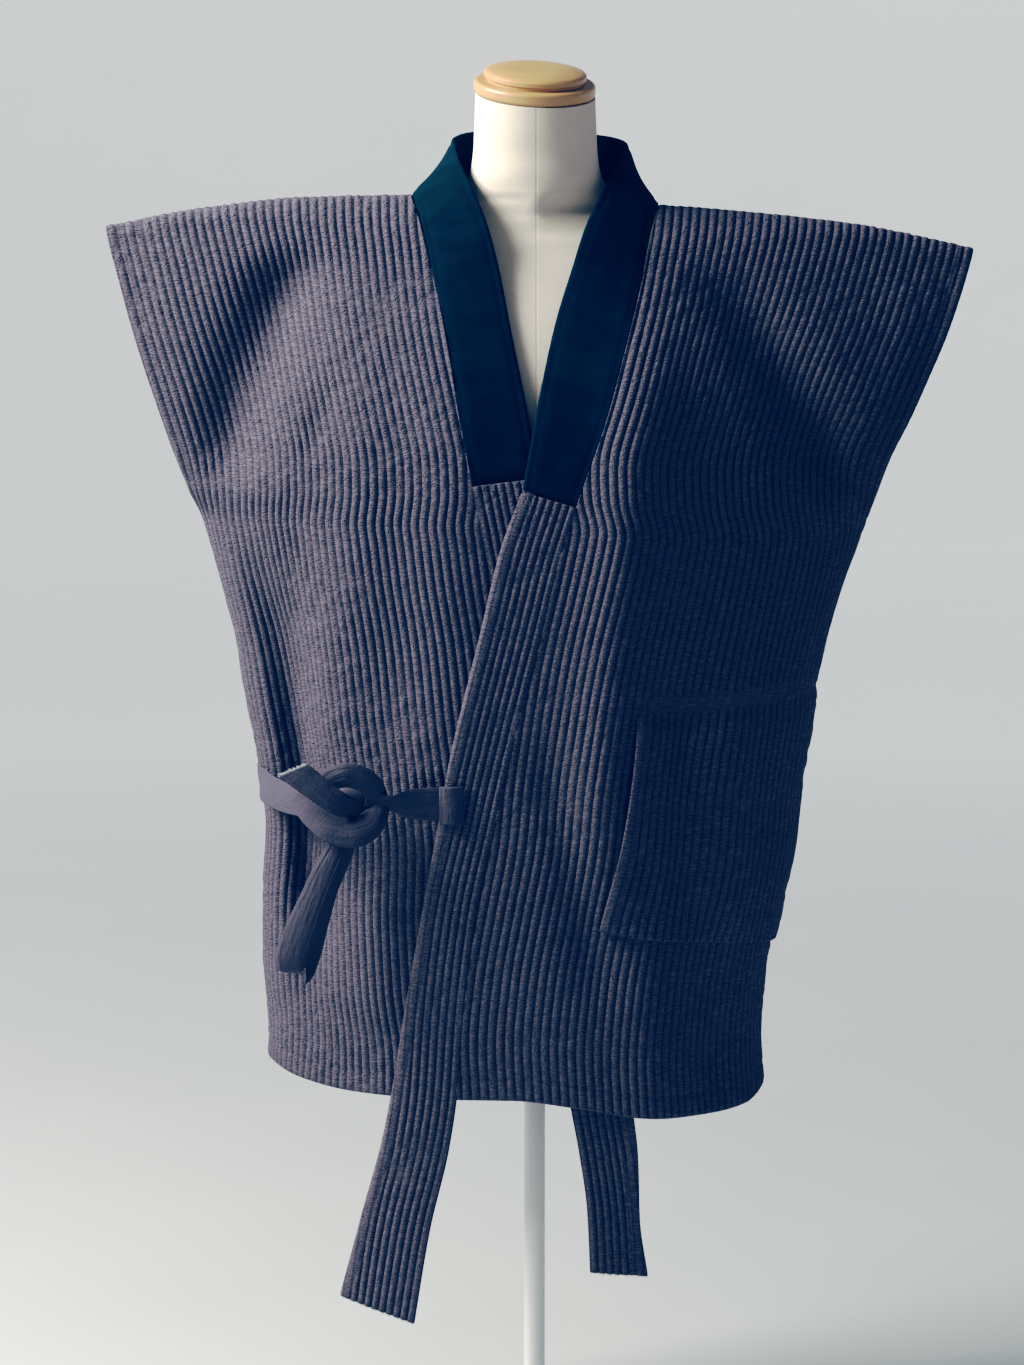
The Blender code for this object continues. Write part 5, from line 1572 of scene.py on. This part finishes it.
def make_form():
    around = np.linspace(0, 2 * np.pi, FORM_AROUND, endpoint=False)
    heights = np.concatenate([np.linspace(0.440, 1.08, 76), np.linspace(1.0825, 1.156, 34),
                              np.linspace(1.160, NECK_TOP[2], 16)])
    left, right, front, back_depth, crown, edge, middle = (
        read(FORM, "z", key, heights)[:, None] for key in FORM[0][1:])
    width = np.where(np.cos(around) < 0, left, right)
    depth = np.where(np.sin(around) < 0, front, back_depth)
    x = width * np.cos(around)
    rise = np.maximum(1 - np.abs(np.cos(around)) ** crown, 0) ** edge
    y = middle + np.sign(np.sin(around)) * depth * rise
    neck = ramp(NECK_STARTS, NECK_TOP[2], heights)[:, None]
    tip = neck * (np.tan(np.radians(NECK_TILT_FORWARD)) * (y - NECK_TOP[1])
                  - np.tan(np.radians(NECK_TILT_RIGHT)) * (x - NECK_TOP[0]))
    points = np.stack([x, y, heights[:, None] + tip], axis=2)
    rings, count = points.shape[:2]
    faces = [(r * count + k, r * count + (k + 1) % count, (r + 1) * count + (k + 1) % count, (r + 1) * count + k)
             for r in range(rings - 1) for k in range(count)]
    faces.append(tuple(range(count))[::-1])
    faces.append(tuple((rings - 1) * count + k for k in range(count)))
    uv = np.zeros((rings * count, 2))
    piece = new_piece("form_linen", points.reshape(-1, 3), faces, uv, cover)
    piece.data.set_sharp_from_angle(angle=np.radians(50))
    return piece


form = make_form()


# %% Turned pieces
CAP_RING_RADIUS = 0.0540
CAP_RING_HEIGHT = 0.0115
CAP_RING_EDGE = 0.0035
CAP_DISC_RADIUS = 0.0455
CAP_DISC_HEIGHT = 0.0125
CAP_DISC_CROWN = 0.0045
FORM_CLEAR = 0.0003
POLE_RADIUS = 0.0095
BASE_RADIUS = 0.135
BASE_HEIGHT = 0.025
BASE_EDGE = 0.006


def arc(radius, height, edge, steps=10):
    """The rounded outer edge of a disc, from its top face to its underside."""
    turn = np.linspace(0, np.pi / 2, steps)
    upper = [(radius - edge + edge * np.sin(t), height - edge + edge * np.cos(t)) for t in turn]
    lower = [(radius - edge + edge * np.cos(t), edge - edge * np.sin(t)) for t in turn]
    return upper + lower


def turned(name, profile, finish, place, steps=128):
    """Spins a profile, from the axis round to the axis, and puts it in its place in the mesh."""
    mesh = bpy.data.meshes.new(name)
    work = bmesh.new()
    line = [work.verts.new((radius, 0, z)) for radius, z in profile]
    edges = [work.edges.new(pair) for pair in zip(line, line[1:])]
    bmesh.ops.spin(work, geom=line + edges, cent=(0, 0, 0), axis=(0, 0, 1), angle=2 * np.pi, steps=steps)
    bmesh.ops.remove_doubles(work, verts=work.verts, dist=0.00001)
    bmesh.ops.recalc_face_normals(work, faces=work.faces)
    work.transform(place)
    work.to_mesh(mesh)
    work.free()
    mesh.materials.append(finish)
    mesh.shade_smooth()
    mesh.set_sharp_from_angle(angle=np.radians(35))
    piece = bpy.data.objects.new(name, mesh)
    REST.objects.link(piece)
    print(name, "has", len(mesh.polygons), "faces")
    return piece


tilt = Matrix.Rotation(np.radians(NECK_TILT_FORWARD), 4, "X")
roll_right = Matrix.Rotation(np.radians(NECK_TILT_RIGHT), 4, "Y")
on_neck = Matrix.Translation(NECK_TOP) @ tilt @ roll_right @ Matrix.Translation((0, 0, FORM_CLEAR))
ring_profile = [(0.0, CAP_RING_HEIGHT)] + arc(CAP_RING_RADIUS, CAP_RING_HEIGHT, CAP_RING_EDGE) + [(0.0, 0.0)]
cap_ring = turned("cap_ring_wood", ring_profile, wood, on_neck)
domed = [(CAP_DISC_RADIUS * s, CAP_DISC_HEIGHT - CAP_DISC_CROWN * s**4) for s in np.linspace(0, 0.97, 18)]
shoulder = [(CAP_DISC_RADIUS, CAP_DISC_HEIGHT - CAP_DISC_CROWN - 0.0012), (CAP_DISC_RADIUS, 0.0036),
            (CAP_DISC_RADIUS - 0.0008, 0.0026), (CAP_DISC_RADIUS - 0.0022, 0.0022),
            (CAP_DISC_RADIUS - 0.0022, 0.0), (0.0, 0.0)]
on_ring = on_neck @ Matrix.Translation((0, 0, CAP_RING_HEIGHT + FORM_CLEAR))
cap_disc = turned("cap_disc_wood", domed + shoulder, wood, on_ring)
base_profile = [(0.0, BASE_HEIGHT)] + arc(BASE_RADIUS, BASE_HEIGHT, BASE_EDGE) + [(0.0, 0.0)]
base = turned("base_plate", base_profile, paint, Matrix.Identity(4))
pole_low = BASE_HEIGHT + FORM_CLEAR
pole_high = FORM[1][0] - FORM_CLEAR
pole = turned("pole_tube", [(0.0, pole_high), (POLE_RADIUS, pole_high), (POLE_RADIUS, pole_low), (0.0, pole_low)],
              paint, Matrix.Identity(4), 48)

# %% [markdown]
# ## Floor, wall and light
# A pale round sweep stands for floor and wall: a disc that bends up into a ring, so no line crosses
# the picture, and the form has a pale ground behind it from every side. One key light from the left
# lifts every slope that faces it and lets the folds fall into shade. It stands near, so the floor
# would darken away from it; the sweep glows a little further out, and more behind the form, which
# keeps the wall even. The sky gives the weak cold fill that keeps the shade readable.

# %% Stage
SWEEP_RADIUS = 9.4
SWEEP_BEND = 1.8
SWEEP_HEIGHT = 4.4
SWEEP_SIDES = 96
GLOW_STARTS, GLOW_FULL = 0.4, 4.2
GLOW_FRONT, GLOW_BACK = 0.14, 0.37
GLOW_TURNS = (-1.5, 2.0)


def map_range(tree, value, from_low, from_high, low, high):
    values = {"Value": value, "From Min": from_low, "From Max": from_high, "To Min": low, "To Max": high}
    return add_node(tree, "ShaderNodeMapRange", values).outputs[0]


def backdrop_paint():
    """Pale matt paint that glows with the distance from the form, and more behind it."""
    made, tree, shader = start_material("pale_backdrop", 0.95)
    where = add_node(tree, "ShaderNodeTexCoord").outputs["Object"]
    tree.links.new(mix_colours(tree, noise(tree, where, 3.0), linear(192, 195, 196), linear(202, 204, 204)),
                   shader.inputs["Base Color"])
    away = add_node(tree, "ShaderNodeVectorMath", {"Vector": where}, operation="LENGTH").outputs["Value"]
    depth = add_node(tree, "ShaderNodeSeparateXYZ", {"Vector": where}).outputs[1]
    reach = map_range(tree, away, GLOW_STARTS, GLOW_FULL, 0.0, 1.0)
    glow = maths(tree, "MULTIPLY", reach, map_range(tree, depth, *GLOW_TURNS, GLOW_FRONT, GLOW_BACK))
    tree.links.new(glow, shader.inputs["Emission Strength"])
    shader.inputs["Emission Color"].default_value = (1.0, 1.0, 1.0, 1.0)
    shader.inputs["Specular IOR Level"].default_value = 0.1
    made.cycles.emission_sampling = "NONE"
    return made


def sweep():
    """A pale floor that bends up into a round wall."""
    flat = SWEEP_RADIUS - SWEEP_BEND
    turn = np.linspace(0, np.pi / 2, 24)[1:]
    profile = [(0.6, 0.0), (1.2, 0.0), (2.4, 0.0), (flat, 0.0)]
    profile += [(flat + SWEEP_BEND * np.sin(t), SWEEP_BEND - SWEEP_BEND * np.cos(t)) for t in turn]
    profile.append((SWEEP_RADIUS, SWEEP_HEIGHT))
    rings = len(profile)
    points, faces = [(0.0, 0.0, 0.0)], []
    for side in range(SWEEP_SIDES):
        angle = 2 * np.pi * side / SWEEP_SIDES
        points += [(r * np.cos(angle), r * np.sin(angle), z) for r, z in profile]
        here, after = 1 + side * rings, 1 + (side + 1) % SWEEP_SIDES * rings
        faces.append((0, here, after))
        faces += [(here + k, here + k + 1, after + k + 1, after + k) for k in range(rings - 1)]
    mesh = bpy.data.meshes.new("backdrop")
    mesh.from_pydata(points, [], faces)
    mesh.materials.append(backdrop_paint())
    mesh.shade_smooth()
    backdrop = bpy.data.objects.new("backdrop", mesh)
    REST.objects.link(backdrop)


def area_light(name, at, toward, size, power, colour):
    data = bpy.data.lights.new(name, "AREA")
    data.size = size
    data.energy = power
    data.color = colour
    lamp = bpy.data.objects.new(name, data)
    lamp.location = at
    lamp.rotation_euler = (Vector(toward) - Vector(at)).to_track_quat("-Z", "Y").to_euler()
    REST.objects.link(lamp)


KEY_TURN = 77.0
KEY_RISE = 35.0
KEY_AWAY = 2.3
LIT_FROM = 0.85


def key_place():
    turn, rise = np.radians(KEY_TURN), np.radians(KEY_RISE)
    level = KEY_AWAY * np.cos(rise)
    return (-level * np.sin(turn), -level * np.cos(turn), LIT_FROM + KEY_AWAY * np.sin(rise))


sweep()
area_light("key", key_place(), (0.0, 0.0, 0.8), 1.2, 122.0, (1.0, 0.97, 0.93))
world = bpy.data.worlds.new("studio")
bpy.context.scene.world = world
world.use_nodes = True
sky = world.node_tree.nodes["Background"]
sky.inputs["Color"].default_value = (0.72, 0.82, 0.95, 1.0)
sky.inputs["Strength"].default_value = 0.13

# %% [markdown]
# The photograph was printed with cold, deep shade: black cloth reads as navy, while the light parts
# stay neutral. A curve for each colour does that in the view, so no material has to carry it and
# every finish keeps its true colour.

# %% Tone of the picture
TONES = (
    ((0.0, 0.0), (0.012, 0.0006), (0.03, 0.004), (0.055, 0.026), (0.085, 0.085), (0.125, 0.165),
     (0.2, 0.27), (0.3, 0.41), (0.6, 0.63), (1.0, 0.97)),
    ((0.0, 0.001), (0.012, 0.006), (0.03, 0.018), (0.055, 0.050), (0.085, 0.103), (0.125, 0.165),
     (0.2, 0.28), (0.3, 0.43), (0.6, 0.635), (1.0, 0.97)),
    ((0.0, 0.014), (0.014, 0.032), (0.035, 0.054), (0.06, 0.086), (0.09, 0.135), (0.14, 0.218),
     (0.2, 0.30), (0.3, 0.43), (0.6, 0.63), (1.0, 0.96)),
)
view = bpy.context.scene.view_settings
view.view_transform = "Standard"
view.use_curve_mapping = True
for curve, tones in zip(view.curve_mapping.curves, TONES):
    curve.points[0].location = tones[0]
    curve.points[1].location = tones[-1]
    for tone in tones[1:-1]:
        curve.points.new(*tone)
    for point in curve.points:
        point.handle_type = "VECTOR"
view.curve_mapping.update()

# %% [markdown]
# ## Pieces on the body
# Every piece rides on the one rigid body, and the CAD solid that it stands for is hidden.

PIECES = (
    ("piece", "nodes", "slot"),
    (front_under, ("front_under",), "quilted_cotton"),
    (front_over, ("front_over",), "quilted_cotton"),
    (back, ("back",), "quilted_cotton"),
    (band_under, ("band_under",), "quilted_cotton"),
    (band_over, ("band_over",), "quilted_cotton"),
    (pocket, ("pocket",), "quilted_cotton"),
    (collar, ("collar",), "collar_cloth"),
    (tie_band, ("tie_from_band",), "tie_cloth"),
    (tie_side, ("tie_from_side",), "tie_cloth"),
    (tie_end, ("tie_end",), "tie_cloth"),
    (tie_loop, ("tie_loop",), "tie_cloth"),
    (knot, ("knot",), "tie_cloth"),
    (tab, ("tie_tab",), "tie_cloth"),
    (stitches, (), "quilted_cotton"),
    (frays, (), "tie_cloth"),
    (tail_frays, (), "quilted_cotton"),
    (form, ("form_body",), "form_cover"),
    (cap_ring, ("cap_ring",), "cap_wood"),
    (cap_disc, ("cap_disc",), "cap_wood"),
    (base, ("base",), "stand_paint"),
    (pole, ("pole",), "stand_paint"),
)
for piece, nodes, slot in PIECES[1:]:
    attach(piece, "root")
    if nodes:
        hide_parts(*nodes)
triangles = sum(len(p.vertices) - 2 for piece, _, _ in PIECES[1:] for p in piece.data.polygons)
print("triangles in all:", triangles)
